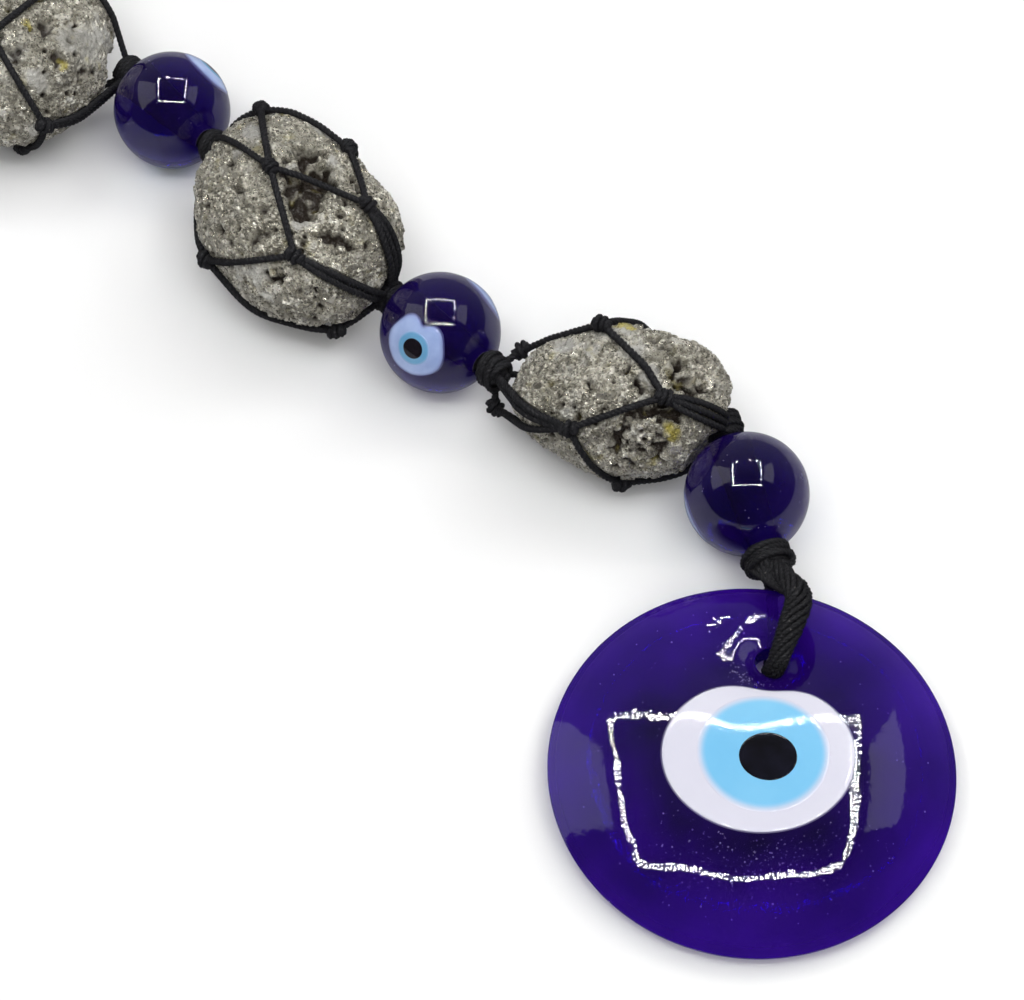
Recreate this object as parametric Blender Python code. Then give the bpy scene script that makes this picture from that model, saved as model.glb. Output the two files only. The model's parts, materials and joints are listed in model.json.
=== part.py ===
"""Evil eye hanging ornament, laid out on a table.

Three rough pyrite lumps in knotted net pouches alternate with three round
lampwork beads, and a flat round glass eye pendant ends the chain. Metres,
+Z up, table at z = 0. The chain runs from the hanging loop (-X, +Y) to the
pendant (+X, -Y).
"""

import math

import bmesh
import bpy
from mathutils import Matrix, Quaternion, Vector, noise
from mathutils.bvhtree import BVHTree

MM = 0.001
SMOOTH_UP_TO = math.radians(35)

# ---------------------------------------------------------------- driving dimensions (millimetres)
GAP = 0.3                      # air kept between touching pieces
ORIGIN = (-20.2, 12.65)        # middle of the laid-out chain, in layout coordinates

BEAD_RADIUS = 10.0
BORE_RADIUS = 2.0
CORE_RADIUS = 1.65             # bundle of net cords that runs through a bead
NECK_REACH = 12.3              # bead centre to the middle of the knot at each mouth

CORD_RADIUS = 0.6              # one waxed cotton cord of a net
NET_KNOT_RADIUS = 1.3
END_KNOT_RADIUS = 2.7
NET_STEP = 4.0                 # spacing of a net strand's points
NET_SLACK = 0.28               # extra air under a strand, whose points lie apart on a rough skin
TABLE_AIR = 0.05               # air between the lowest cords and the table

PENDANT_RADIUS = 31.3
PENDANT_OVAL = 0.978           # height of the outline as a share of its width
PENDANT_MID_HEIGHT = 3.6       # height of the widest point of the rim above the back
PENDANT_DOME = 5.1             # crown above that widest point
PENDANT_FLAT_RADIUS = 24.5     # flat part of the back
PENDANT_CENTRE = (36.7, -50.6)
PENDANT_TILT = math.radians(3.2)   # the loop's back strand lifts the upper rim
HOLE_PLACE = (3.6, 17.2)       # hole centre from the pendant's centre
HOLE_RADIUS = 2.6
HOLE_FLARE = 1.0               # the pressed mouth of the hole is this much wider
EYE_PLACE = (0.7, 0.1)         # eye centre from the pendant's centre
EYE_CROWN = 0.15               # top of the white layer above the glass round it
POCKET_DEPTH = 2.6             # of the pocket under the white layer, then each layer's underside and
WHITE_UNDERSIDE = 2.3          # the pocket in it, all measured down from the top of the white
IRIS_POCKET = 1.6
IRIS_UNDERSIDE = 1.3
PUPIL_POCKET = 0.8
PUPIL_UNDERSIDE = 0.5
WHITE_RADIUS = 14.2
IRIS_RADIUS = 9.5
PUPIL_RADIUS = 4.2
EYE_OVAL = 0.90                # the layers were pressed lower than wide

LOOP_FRONT_RADIUS = 1.7        # pendant loop over the face
LOOP_BACK_RADIUS = 1.0         # and flattened under the glass
HANGING_CORD_RADIUS = 1.25
HANGING_LOOP_REACH = 58.0
HANGING_LOOP_SPREAD = 15.0
HANGING_LOOP_HEADING = 170.0   # degrees from +X
HANGING_LOOP_FOOT = 1.4        # half the distance between its two ends at the knot
HANGING_LOOP_SLOPE = 0.16      # share of its length over which each end comes down to the table

BEAD_EYE_ANGLES = (31.0, 19.0, 11.0)   # white, iris and pupil, degrees seen from the bead's middle
BEAD_EYE_FLOORS = (2.0, 1.2, 0.6)      # how deep each layer of a bead eye sits

# Bead centres, bore directions (towards the pendant) and eye directions.
BEADS = {
    1: {"centre": (-58.5, 72.3, 10.0), "bore": (0.644, -0.754, 0.13),
        "eyes": ((0.70, 0.61, 0.37), (-0.14, -0.45, -0.88))},
    2: {"centre": (-11.8, 26.1, 10.0), "bore": (0.708, -0.693, 0.13),
        "eyes": ((-0.43, -0.70, 0.57), (0.78, 0.59, 0.21))},
    3: {"centre": (37.4, -4.9, 10.0), "bore": (0.26, -0.962, -0.08),
        "eyes": ((-0.88, -0.21, -0.43), (0.86, 0.34, -0.38))},
}

# Lump centres, half sizes, heading of the long axis, and lumps or dents on the
# egg shape as (azimuth, elevation, spread, height), angles in degrees.
STONES = {
    1: {"centre": (-87.0, 84.2, 13.4), "half": (20.6, 17.3, 11.2), "heading": 100.0, "seed": 3.0,
        "lumps": ((40, 30, 28, 1.2), (-75, 35, 25, 0.8), (-110, 10, 25, -1.0), (160, 40, 30, 1.0))},
    2: {"centre": (-36.2, 46.5, 13.2), "half": (20.7, 14.8, 11.2), "heading": 117.0, "seed": 11.0,
        "lumps": ((-12, 12, 22, 2.4), (170, 30, 35, 0.9), (-40, 60, 16, -2.2), (105, 35, 25, 1.2))},
    3: {"centre": (17.6, 10.8, 12.5), "half": (17.4, 12.0, 10.6), "heading": 171.0, "seed": 23.0,
        "lumps": ((26, 18, 24, 1.6), (100, 40, 30, 1.0), (-60, 10, 25, 0.8), (-30, 50, 15, -1.5))},
}
STONE_NOISE = 0.9              # height of the broken surface's larger steps
STONE_FLOOR = 2.9              # the lumps lie on the cords and knots beneath them
STONE_KNOT_AIR = 0.7           # hollow kept free round an end knot
STONE_BEAD_AIR = 1.3           # and round a bead, where a cord can pass

# Net pouches: knots as (azimuth, elevation) seen from the lump's middle or as
# layout points beside it, and strands between knots; "top" and "end" are the
# wrapped knots at both ends.
NETS = {
    1: {"top": (-105.8, 95.4, 10.0),
        "knots": {"a": (-96, 55), "b": (36, 29), "c": (-68, 6), "d": (-84.8, 68.6, 4.6), "e": (150, 40),
                  "f": (95, 5), "g": (-40, -52), "h": (150, -42)},
        "strands": ("top-a", "top-e", "top-d", "top-h", "a-b", "a-c", "e-b", "e-f", "f-b", "c-d",
                    "f-h", "d-h", "d-g", "f-g", "b-end", "c-end", "g-end")},
    2: {"knots": {"a": (108, 15), "b": (150, 71), "c": (46, 30), "d": (-17, 34), "e": (-85, 32),
                  "f": (-157, -7), "g": (-69, -12), "h": (80, -45), "i": (-120, -55)},
        "strands": ("top-a", "top-b", "top-f", "a-b", "a-c", "b-d", "b-e", "c-d", "e-f", "d-end",
                    "e-end", "f-g", "g-end", "a-h", "f-i", "h-i", "c-h", "h-end", "g-i")},
    3: {"knots": {"a": (112, 49), "b": (-136, 25), "c": (-38, 46), "d": (-90, -27),
                  "e": (-2.6, 14.4, 5.4), "f": (60, -5), "g": (110, -45), "h": (-70, -58),
                  "i": (1.6, 20.8, 12.6)},
        "strands": ("top-i", "i-a", "top-b", "top-e", "e-b", "a-c", "b-c", "b-d", "a-f", "e-h",
                    "d-h", "f-g", "g-h", "c-end", "d-end", "f-end", "g-top")},
}


def unit(vector):
    return Vector(vector).normalized()


def place(x, y, z):
    """A layout point in millimetres as a world point in metres."""
    return Vector((x - ORIGIN[0], y - ORIGIN[1], z)) * MM


def toward(azimuth, elevation):
    """Unit vector at an azimuth and an elevation in degrees."""
    az = math.radians(azimuth)
    el = math.radians(elevation)
    return Vector((math.cos(az) * math.cos(el), math.sin(az) * math.cos(el), math.sin(el)))


# ---------------------------------------------------------------- materials and objects
def material(name, colour, roughness, metallic=0.0):
    made = bpy.data.materials.new(name)
    made.use_nodes = True
    shader = made.node_tree.nodes["Principled BSDF"]
    shader.inputs["Base Color"].default_value = (*colour, 1.0)
    shader.inputs["Roughness"].default_value = roughness
    shader.inputs["Metallic"].default_value = metallic
    return made


def add_object(name, data, finish):
    made = bpy.data.objects.new(name, data)
    bpy.context.scene.collection.objects.link(made)
    if finish is not None:
        data.materials.clear()
        data.materials.append(finish)
    return made


def mesh_from(bm, name):
    bmesh.ops.recalc_face_normals(bm, faces=bm.faces)
    data = bpy.data.meshes.new(name)
    bm.to_mesh(data)
    bm.free()
    data.shade_smooth()
    data.set_sharp_from_angle(angle=SMOOTH_UP_TO)
    return data


def as_cutter(piece):
    piece.hide_render = True
    piece.display_type = 'WIRE'
    return piece


def cut(target, cutter):
    step = target.modifiers.new(cutter.name, 'BOOLEAN')
    step.object = as_cutter(cutter)
    step.operation = 'DIFFERENCE'
    step.solver = 'EXACT'


# ---------------------------------------------------------------- shape makers
def turned(name, profile, segments):
    """Turn a profile of (radius, height) in millimetres about Z; it runs from the axis and back to it,
    or closes on itself when it never touches the axis."""
    bm = bmesh.new()
    points = [bm.verts.new((r * MM, 0.0, z * MM)) for r, z in profile]
    edges = [bm.edges.new(pair) for pair in zip(points, points[1:])]
    if profile[0][0] > 0.0:
        edges.append(bm.edges.new((points[-1], points[0])))
    bmesh.ops.spin(bm, geom=points + edges, axis=(0, 0, 1), cent=(0, 0, 0), angle=math.tau,
                   steps=segments, use_merge=True)
    bmesh.ops.remove_doubles(bm, verts=bm.verts, dist=1e-6)
    return mesh_from(bm, name)


def arc(radius, start, stop, steps):
    """Points of (radius, height) on a circle about the axis, angles in degrees from +Z."""
    angles = [math.radians(start + (stop - start) * k / steps) for k in range(steps + 1)]
    return [(radius * math.sin(a), radius * math.cos(a)) for a in angles]


def swept(name, points, radii, resolution, finish=None):
    """A round cord through the points (world metres), radii in millimetres."""
    data = bpy.data.curves.new(name, 'CURVE')
    data.dimensions = '3D'
    data.bevel_depth = MM
    data.bevel_resolution = resolution
    data.use_fill_caps = True
    spline = data.splines.new('POLY')
    spline.points.add(len(points) - 1)
    for target, point, radius in zip(spline.points, points, radii):
        target.co = (*point, 1.0)
        target.radius = radius
    return add_object(name, data, finish)


def swept_mesh(name, points, radii, resolution):
    """The same cord as a mesh object, for a union."""
    guide = swept(name + "_guide", points, radii, resolution)
    view = bpy.context.evaluated_depsgraph_get()
    data = bpy.data.meshes.new_from_object(guide.evaluated_get(view))
    bpy.data.objects.remove(guide)
    return add_object(name, data, None)


def ball(name, centre, radius, subdivisions):
    bm = bmesh.new()
    bmesh.ops.create_icosphere(bm, subdivisions=subdivisions, radius=radius * MM)
    bmesh.ops.translate(bm, verts=bm.verts, vec=centre)
    return add_object(name, mesh_from(bm, name), None)


def joined(name, pieces, finish):
    """One solid from overlapping pieces, by a union with the rest as a collection."""
    base, rest = pieces[0], pieces[1:]
    base.name = name
    base.data.materials.clear()
    base.data.materials.append(finish)
    group = bpy.data.collections.new(name + "_pieces")
    bpy.context.scene.collection.children.link(group)
    for piece in rest:
        bpy.context.scene.collection.objects.unlink(piece)
        group.objects.link(as_cutter(piece))
    step = base.modifiers.new("union", 'BOOLEAN')
    step.operand_type = 'COLLECTION'
    step.collection = group
    step.operation = 'UNION'
    step.solver = 'EXACT'
    return base


def smooth_route(points, steps):
    """Catmull-Rom curve through rows of numbers, with steps pieces between each pair."""
    rows = [list(p) for p in points]
    rows = [rows[0]] + rows + [rows[-1]]
    route = []
    for a, b, c, d in zip(rows, rows[1:], rows[2:], rows[3:]):
        for k in range(steps):
            t = k / steps
            route.append([
                0.5 * (2 * q + (r - p) * t + (2 * p - 5 * q + 4 * r - s) * t * t
                       + (3 * q - p - 3 * r + s) * t ** 3)
                for p, q, r, s in zip(a, b, c, d)
            ])
    route.append(rows[-1])
    return route


# ---------------------------------------------------------------- pendant
def pendant_profile():
    """Half section of the glass: flat back, round rim, low dome."""
    rim = PENDANT_RADIUS - PENDANT_FLAT_RADIUS
    under = [(PENDANT_FLAT_RADIUS + rim * math.sin(a), PENDANT_MID_HEIGHT * (1 - math.cos(a)))
             for a in (math.radians(t) for t in range(0, 91, 18))]
    stations = (0.995, 0.975, 0.94, 0.88, 0.79, 0.68, 0.56, 0.42, 0.22)
    over = [(PENDANT_RADIUS * s, pendant_top(PENDANT_RADIUS * s)) for s in stations]
    return [(0.0, 0.0)] + under + over + [(0.0, pendant_top(0.0))]


def pendant_top(radius):
    """Height of the pendant's face above its back at a radius."""
    return PENDANT_MID_HEIGHT + PENDANT_DOME * math.sqrt(1 - (radius / PENDANT_RADIUS) ** 3.2)


def pendant_frame():
    """Empty that carries the glass and its inlays: the back's centre, tilted about X."""
    lowest = min(-r * math.sin(PENDANT_TILT) + z * math.cos(PENDANT_TILT) for r, z in pendant_profile())
    frame = bpy.data.objects.new("pendant_frame", None)
    bpy.context.scene.collection.objects.link(frame)
    frame.location = place(*PENDANT_CENTRE, TABLE_AIR - lowest)
    frame.rotation_euler = (PENDANT_TILT, 0.0, 0.0)
    return frame


def eye_layer(name, radius, floor, top, inner_radius, inner_floor, finish):
    """A round inlay from floor to top with a pocket for the next one."""
    soft = 0.4
    profile = [(0.0, floor), (radius, floor), (radius, top - soft), (radius - soft, top)]
    if inner_radius:
        profile += [(inner_radius, top), (inner_radius, inner_floor)]
    profile.append((0.0, inner_floor if inner_radius else top))
    return add_object(name, turned(name, profile, 28), finish)


def build_pendant(finishes):
    frame = pendant_frame()
    glass = add_object("pendant_glass", turned("pendant_glass", pendant_profile(), 48),
                       finishes["cobalt"])
    glass.data.transform(Matrix.Diagonal((1.0, PENDANT_OVAL, 1.0, 1.0)))
    press = pendant_top(math.hypot(*HOLE_PLACE))
    beyond = 3.0                   # how far the cutters stand out of the glass
    hole_profile = [(0.0, -beyond), (HOLE_RADIUS, -beyond), (HOLE_RADIUS, press - 1.4 * HOLE_FLARE),
                    (HOLE_RADIUS + 0.9 * HOLE_FLARE, press + 0.6 * HOLE_FLARE),
                    (HOLE_RADIUS + HOLE_FLARE, press + beyond), (0.0, press + beyond)]
    hole = add_object("pendant_hole", turned("pendant_hole", hole_profile, 24), None)
    hole.location = Vector((*HOLE_PLACE, 0.0)) * MM
    crown = pendant_top(WHITE_RADIUS) + EYE_CROWN
    pocket_profile = [(0.0, crown - POCKET_DEPTH), (WHITE_RADIUS + GAP, crown - POCKET_DEPTH),
                      (WHITE_RADIUS + GAP, crown + beyond), (0.0, crown + beyond)]
    pocket = add_object("eye_pocket", turned("eye_pocket", pocket_profile, 32), None)
    cut(glass, hole)
    cut(glass, pocket)
    white = eye_layer("pendant_white", WHITE_RADIUS, crown - WHITE_UNDERSIDE, crown,
                      IRIS_RADIUS + GAP, crown - IRIS_POCKET, finishes["white"])
    iris = eye_layer("pendant_iris", IRIS_RADIUS, crown - IRIS_UNDERSIDE, crown + EYE_CROWN,
                     PUPIL_RADIUS + GAP, crown - PUPIL_POCKET, finishes["sky"])
    pupil = eye_layer("pendant_pupil", PUPIL_RADIUS, crown - PUPIL_UNDERSIDE,
                      crown + 2 * EYE_CROWN, 0.0, 0.0, finishes["black"])
    for layer in (pocket, white, iris, pupil):
        layer.location = Vector((*EYE_PLACE, 0.0)) * MM
        layer.data.transform(Matrix.Diagonal((1.0, EYE_OVAL, 1.0, 1.0)))
    for piece in (glass, hole, pocket, white, iris, pupil):
        piece.parent = frame


def build_pendant_loop(finish):
    """Knot below the last bead, strand over the rim, through the hole and back underneath."""
    knot = neck_point(3, 1)
    kx, ky, kz = ((knot / MM) + Vector((*ORIGIN, 0.0)))
    hx = PENDANT_CENTRE[0] + HOLE_PLACE[0]
    hy = PENDANT_CENTRE[1] + HOLE_PLACE[1]
    front = LOOP_FRONT_RADIUS
    back = LOOP_BACK_RADIUS
    route = [
        (kx + 0.6, ky - 0.2, kz + 0.6, front), (kx + 2.6, ky - 0.9, kz + 2.6, front),
        (kx + 4.2, ky - 3.2, kz + 4.3, front), (kx + 4.3, ky - 7.0, kz + 5.1, front),
        (kx + 3.0, ky - 11.0, kz + 5.0, front), (hx + 1.2, hy + 4.4, 13.4, front),
        (hx + 0.3, hy + 1.1, 11.9, 1.5), (hx, hy, 8.6, 1.4), (hx, hy, 4.6, 1.4),
        (hx + 0.1, hy + 1.0, 1.6, back), (hx + 0.3, hy + 3.8, 1.1, back),
        (kx + 0.6, hy + 8.6, 1.1, back), (kx + 0.4, hy + 13.0, 1.4, back),
        (kx + 0.2, ky - 1.0, 3.4, back), (kx, ky, kz - 1.6, back),
    ]
    rows = smooth_route(route, 2)
    points = [place(*row[:3]) for row in rows]
    strand = swept_mesh("pendant_loop_strand", points, [row[3] for row in rows], 2)
    joined("pendant_loop", [ball("pendant_knot", knot, END_KNOT_RADIUS, 2), strand], finish)


# ---------------------------------------------------------------- beads
def neck_point(bead, side):
    """Middle of the knot at a bead's upper (-1) or lower (+1) mouth, world metres."""
    spec = BEADS[bead]
    return place(*spec["centre"]) + unit(spec["bore"]) * (side * NECK_REACH * MM)


def bead_profile():
    """Ball with a bore along Z: outer arc from mouth to mouth, then the bore's wall."""
    mouth = math.degrees(math.asin(BORE_RADIUS / BEAD_RADIUS))
    return arc(BEAD_RADIUS, mouth, 180.0 - mouth, 13)


def cap_profile(angle, floor, inner_angle, inner_floor):
    """Spherical inlay: outer face on the ball's surface, pocket for the next one."""
    outer = BEAD_RADIUS
    spare = math.degrees(GAP / BEAD_RADIUS)
    profile = arc(outer - floor, 0.0, angle, 2)
    if inner_angle:
        profile += arc(outer, angle, inner_angle + spare, 1)
        profile += arc(outer - inner_floor, inner_angle + spare, 0.0, 1)
    else:
        profile += arc(outer, angle, 0.0, 2)
    return profile


def build_bead(number, finishes):
    spec = BEADS[number]
    centre = place(*spec["centre"])
    glass_name = f"bead_{number}_glass"
    glass = add_object(glass_name, turned(glass_name, bead_profile(), 24), finishes["cobalt"])
    glass.location = centre
    glass.rotation_mode = 'QUATERNION'
    glass.rotation_quaternion = unit(spec["bore"]).to_track_quat('Z', 'Y')
    white_angle, iris_angle, pupil_angle = BEAD_EYE_ANGLES
    white_floor, iris_floor, pupil_floor = BEAD_EYE_FLOORS
    spare = math.degrees(GAP / BEAD_RADIUS)
    layers = (
        ("white", (white_angle, white_floor, iris_angle, iris_floor + GAP), 18, "white"),
        ("iris", (iris_angle, iris_floor, pupil_angle, pupil_floor + GAP), 14, "sky"),
        ("pupil", (pupil_angle, pupil_floor, 0.0, 0.0), 10, "black"),
    )
    for tag, direction in zip("ab", spec["eyes"]):
        facing = unit(direction).to_track_quat('Z', 'Y')
        reach = white_angle + spare
        socket_name = f"bead_{number}_socket_{tag}"
        inside = BEAD_RADIUS - white_floor - GAP
        socket_profile = arc(inside, 0.0, reach, 2) + arc(BEAD_RADIUS + 2.0, reach, 0.0, 1)
        pieces = [add_object(socket_name, turned(socket_name, socket_profile, 18), None)]
        cut(glass, pieces[0])
        for layer, sizes, segments, finish in layers:
            name = f"bead_{number}_eye_{tag}_{layer}"
            pieces.append(add_object(name, turned(name, cap_profile(*sizes), segments), finishes[finish]))
        for piece in pieces:
            piece.location = centre
            piece.rotation_mode = 'QUATERNION'
            piece.rotation_quaternion = facing
    along = unit(spec["bore"]) * ((NECK_REACH - END_KNOT_RADIUS - GAP) * MM)
    swept(f"bead_{number}_core_cord", [centre - along, centre, centre + along],
          [CORE_RADIUS] * 3, 2, finishes["cord"])


# ---------------------------------------------------------------- pyrite lumps
def keep_outs(number):
    """Balls of space that a lump leaves free: the end knots and the beads beside it."""
    blocks = []
    for bead, side in ((number - 1, 1), (number, -1)):
        if bead in BEADS:
            blocks.append((neck_point(bead, side), (END_KNOT_RADIUS + STONE_KNOT_AIR) * MM))
            blocks.append((place(*BEADS[bead]["centre"]), (BEAD_RADIUS + STONE_BEAD_AIR) * MM))
    if number == 1:
        blocks.append((place(*NETS[1]["top"]), (END_KNOT_RADIUS + STONE_KNOT_AIR) * MM))
    return blocks


def stone_reach(number, direction, blocks):
    """Distance from a lump's middle to its skin along a unit direction, in metres."""
    spec = STONES[number]
    local = Quaternion((0, 0, 1), -math.radians(spec["heading"])) @ direction
    half = spec["half"]
    reach = 1.0 / math.sqrt(sum((c / h) ** 2 for c, h in zip(local, half)))
    for azimuth, elevation, spread, height in spec["lumps"]:
        away = math.degrees(direction.angle(toward(azimuth, elevation)))
        reach += height * math.exp(-(away / spread) ** 2)
    reach += STONE_NOISE * noise.noise(direction * 2.2 + Vector((spec["seed"], 0.0, 0.0)))
    middle = place(*spec["centre"])
    reach *= MM
    for centre, radius in blocks:
        while (middle + direction * reach - centre).length < radius:
            reach -= 0.1 * MM
    if direction.z < 0.0:
        reach = min(reach, (middle.z - STONE_FLOOR * MM) / -direction.z)
    return reach


def build_stone(number, finish):
    blocks = keep_outs(number)
    bm = bmesh.new()
    bmesh.ops.create_icosphere(bm, subdivisions=4, radius=1.0)
    for vert in bm.verts:
        vert.co *= stone_reach(number, vert.co.normalized(), blocks)
    name = f"pyrite_lump_{number}"
    lump = add_object(name, mesh_from(bm, name), finish)
    lump.location = place(*STONES[number]["centre"])
    thin = lump.modifiers.new("fewer facets", 'DECIMATE')
    thin.ratio = 0.55
    return lump


# ---------------------------------------------------------------- net pouches
def skin_of(piece):
    """Search tree of an object's evaluated surface, in world space."""
    view = bpy.context.evaluated_depsgraph_get()
    shown = piece.evaluated_get(view)
    bm = bmesh.new()
    bm.from_mesh(shown.to_mesh())
    bmesh.ops.transform(bm, matrix=Matrix.Translation(piece.location), verts=bm.verts)
    tree = BVHTree.FromBMesh(bm)
    bm.free()
    shown.to_mesh_clear()
    return tree


def push_out(point, skin, clearance, balls):
    """Move a point out of the lump's skin, of the balls and off the table, to a clearance."""
    for _ in range(4):
        spot, normal, _, _ = skin.find_nearest(point)
        away = (point - spot).dot(normal)
        if away < clearance:
            point = point + normal * (clearance - away)
        for centre, radius in balls:
            offset = point - centre
            if offset.length < radius + clearance:
                point = centre + offset.normalized() * (radius + clearance)
        point.z = max(point.z, (CORD_RADIUS + TABLE_AIR) * MM)
    return point


def taut_strand(start, end, middle, skin, balls):
    """A cord pulled tight round a lump from start to end, as points in world metres."""
    clearance = (CORD_RADIUS + GAP + NET_SLACK) * MM
    out_a = start - middle
    out_b = end - middle
    sweep = out_a.angle(out_b)
    arc_length = sweep * 0.5 * (out_a.length + out_b.length)
    count = max(3, round(arc_length / (NET_STEP * MM)) + 1)
    turn = Quaternion(out_a.cross(out_b).normalized(), sweep / (count - 1))
    spoke = out_a.normalized()
    points = []
    for k in range(count):
        share = k / (count - 1)
        points.append(middle + spoke * (out_a.length * (1 - share) + out_b.length * share))
        spoke = turn @ spoke
    points[-1] = end
    for _ in range(30):
        for k in range(1, count - 1):
            points[k] = push_out((points[k - 1] + points[k + 1]) * 0.5, skin, clearance, balls)
    for _ in range(8):
        for k in range(count - 1):
            between = (points[k] + points[k + 1]) * 0.5
            lift = push_out(between, skin, clearance - GAP * MM, balls) - between
            for j in (k, k + 1):
                if 0 < j < count - 1:
                    points[j] = points[j] + lift
    return points


def end_knots(number):
    """Middles of the wrapped knots at a net's upper and lower end."""
    top = place(*NETS[1]["top"]) if number == 1 else neck_point(number - 1, 1)
    return {"top": top, "end": neck_point(number, -1)}


def build_net(number, lump, finish):
    spec = NETS[number]
    skin = skin_of(lump)
    middle = place(*STONES[number]["centre"])
    beads = [(place(*BEADS[bead]["centre"]), BEAD_RADIUS * MM)
             for bead in (number - 1, number) if bead in BEADS]
    places = end_knots(number)
    for tag, where in spec["knots"].items():
        spot = place(*where) if len(where) == 3 else skin.ray_cast(middle, toward(*where))[0]
        places[tag] = push_out(spot, skin, (NET_KNOT_RADIUS + GAP) * MM, beads)
        places[tag].z = max(places[tag].z, (NET_KNOT_RADIUS + TABLE_AIR) * MM)
    pieces = []
    for tag, spot in places.items():
        wrapped = tag in ("top", "end")
        radius = END_KNOT_RADIUS if wrapped else NET_KNOT_RADIUS
        pieces.append(ball(f"net_{number}_knot_{tag}", spot, radius, 2 if wrapped else 1))
    for pair in spec["strands"]:
        start, end = pair.split("-")
        route = taut_strand(places[start], places[end], middle, skin, beads)
        pieces.append(swept_mesh(f"net_{number}_strand_{pair}", route, [CORD_RADIUS] * len(route), 1))
    joined(f"net_pouch_{number}", pieces, finish)


# ---------------------------------------------------------------- hanging loop
def build_hanging_loop(finish):
    """The upper end of the cord: a limp loop that lies on the table beyond the first lump."""
    knot = place(*NETS[1]["top"])
    heading = Quaternion((0, 0, 1), math.radians(HANGING_LOOP_HEADING))
    rest = (HANGING_CORD_RADIUS + TABLE_AIR) * MM
    leave = END_KNOT_RADIUS + GAP + TABLE_AIR
    count = 40
    points = []
    for k in range(count + 1):
        share = k / count
        angle = math.tau * share
        ahead = leave + HANGING_LOOP_REACH * math.sin(angle / 2) ** 1.2
        across = HANGING_LOOP_SPREAD * math.sin(angle) * (1 - 0.25 * math.cos(angle))
        across += HANGING_LOOP_FOOT * math.cos(angle / 2)
        drop = min(1.0, min(share, 1 - share) / HANGING_LOOP_SLOPE)
        eased = drop * drop * (3 - 2 * drop)
        point = knot + heading @ (Vector((ahead, across, 0.0)) * MM)
        point.z = knot.z + (rest - knot.z) * eased
        points.append(point)
    swept("hanging_loop", points, [HANGING_CORD_RADIUS] * len(points), 2, finish)


def main():
    for old in list(bpy.data.objects):
        bpy.data.objects.remove(old)
    finishes = {
        "cobalt": material("cobalt glass", (0.03, 0.01, 0.35), 0.05),
        "white": material("white glass", (0.90, 0.88, 0.97), 0.1),
        "sky": material("sky blue glass", (0.35, 0.72, 0.95), 0.1),
        "black": material("black glass", (0.01, 0.01, 0.015), 0.1),
        "cord": material("black waxed cotton", (0.02, 0.02, 0.025), 0.65),
        "pyrite": material("pyrite", (0.42, 0.39, 0.33), 0.4, 0.8),
    }
    build_pendant(finishes)
    build_pendant_loop(finishes["cord"])
    for number in BEADS:
        build_bead(number, finishes)
    for number in STONES:
        lump = build_stone(number, finishes["pyrite"])
        build_net(number, lump, finishes["cord"])
    build_hanging_loop(finishes["cord"])


main()
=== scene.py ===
"""Evil eye hanging ornament on a pale table: the visible model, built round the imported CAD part."""

import json
import math

import bpy
import numpy as np
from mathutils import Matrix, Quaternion, Vector, kdtree, noise
from mathutils.bvhtree import BVHTree

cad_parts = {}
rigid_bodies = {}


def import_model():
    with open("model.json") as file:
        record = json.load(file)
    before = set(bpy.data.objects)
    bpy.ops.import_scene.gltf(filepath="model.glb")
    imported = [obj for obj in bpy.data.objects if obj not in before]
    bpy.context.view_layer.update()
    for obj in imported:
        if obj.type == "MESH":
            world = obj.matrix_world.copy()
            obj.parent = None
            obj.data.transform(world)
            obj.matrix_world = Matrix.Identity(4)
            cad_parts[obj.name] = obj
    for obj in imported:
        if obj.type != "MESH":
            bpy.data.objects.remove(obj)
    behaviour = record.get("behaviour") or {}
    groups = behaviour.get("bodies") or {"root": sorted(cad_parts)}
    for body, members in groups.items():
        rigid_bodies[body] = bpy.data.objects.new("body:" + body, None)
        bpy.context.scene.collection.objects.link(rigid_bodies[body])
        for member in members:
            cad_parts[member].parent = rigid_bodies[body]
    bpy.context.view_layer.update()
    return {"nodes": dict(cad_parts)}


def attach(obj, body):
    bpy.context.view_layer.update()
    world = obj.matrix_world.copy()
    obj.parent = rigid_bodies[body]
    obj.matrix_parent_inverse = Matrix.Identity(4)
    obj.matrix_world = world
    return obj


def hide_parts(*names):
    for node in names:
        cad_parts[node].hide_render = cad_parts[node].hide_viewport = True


for old in list(bpy.data.objects):
    bpy.data.objects.remove(old)
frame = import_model()

MM = 0.001
ORIGIN = np.array((-20.2, 12.65, 0.0))      # layout point that is the model's origin, millimetres
rng = np.random.default_rng(391)


def place(x, y, z):
    """A layout point as a world point, both in millimetres."""
    return np.array((x, y, z), float) - ORIGIN


def unit(v):
    v = np.asarray(v, float)
    return v / np.linalg.norm(v)


def toward(azimuth, elevation):
    az, el = math.radians(azimuth), math.radians(elevation)
    return np.array((math.cos(az) * math.cos(el), math.sin(az) * math.cos(el), math.sin(el)))


# ---------------------------------------------------------------- camera
CAMERA_ELEVATION = math.radians(59.0)
CAMERA_DISTANCE = 0.505
CAMERA_SENSOR = 36.0
CAMERA_LENS = 108.984375
AIM = Vector((0.0202, -0.01265, 0.0))
lens = bpy.data.cameras.new("camera")
lens.sensor_width = CAMERA_SENSOR
lens.lens = CAMERA_LENS
camera = bpy.data.objects.new("camera", lens)
bpy.context.scene.collection.objects.link(camera)
camera_way = Vector((0.0, -math.cos(CAMERA_ELEVATION), math.sin(CAMERA_ELEVATION)))
camera.location = AIM + camera_way * CAMERA_DISTANCE
camera.rotation_euler = (math.pi / 2 - CAMERA_ELEVATION, 0.0, 0.0)
bpy.context.scene.camera = camera
bpy.context.scene.view_settings.view_transform = 'Standard'


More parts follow.
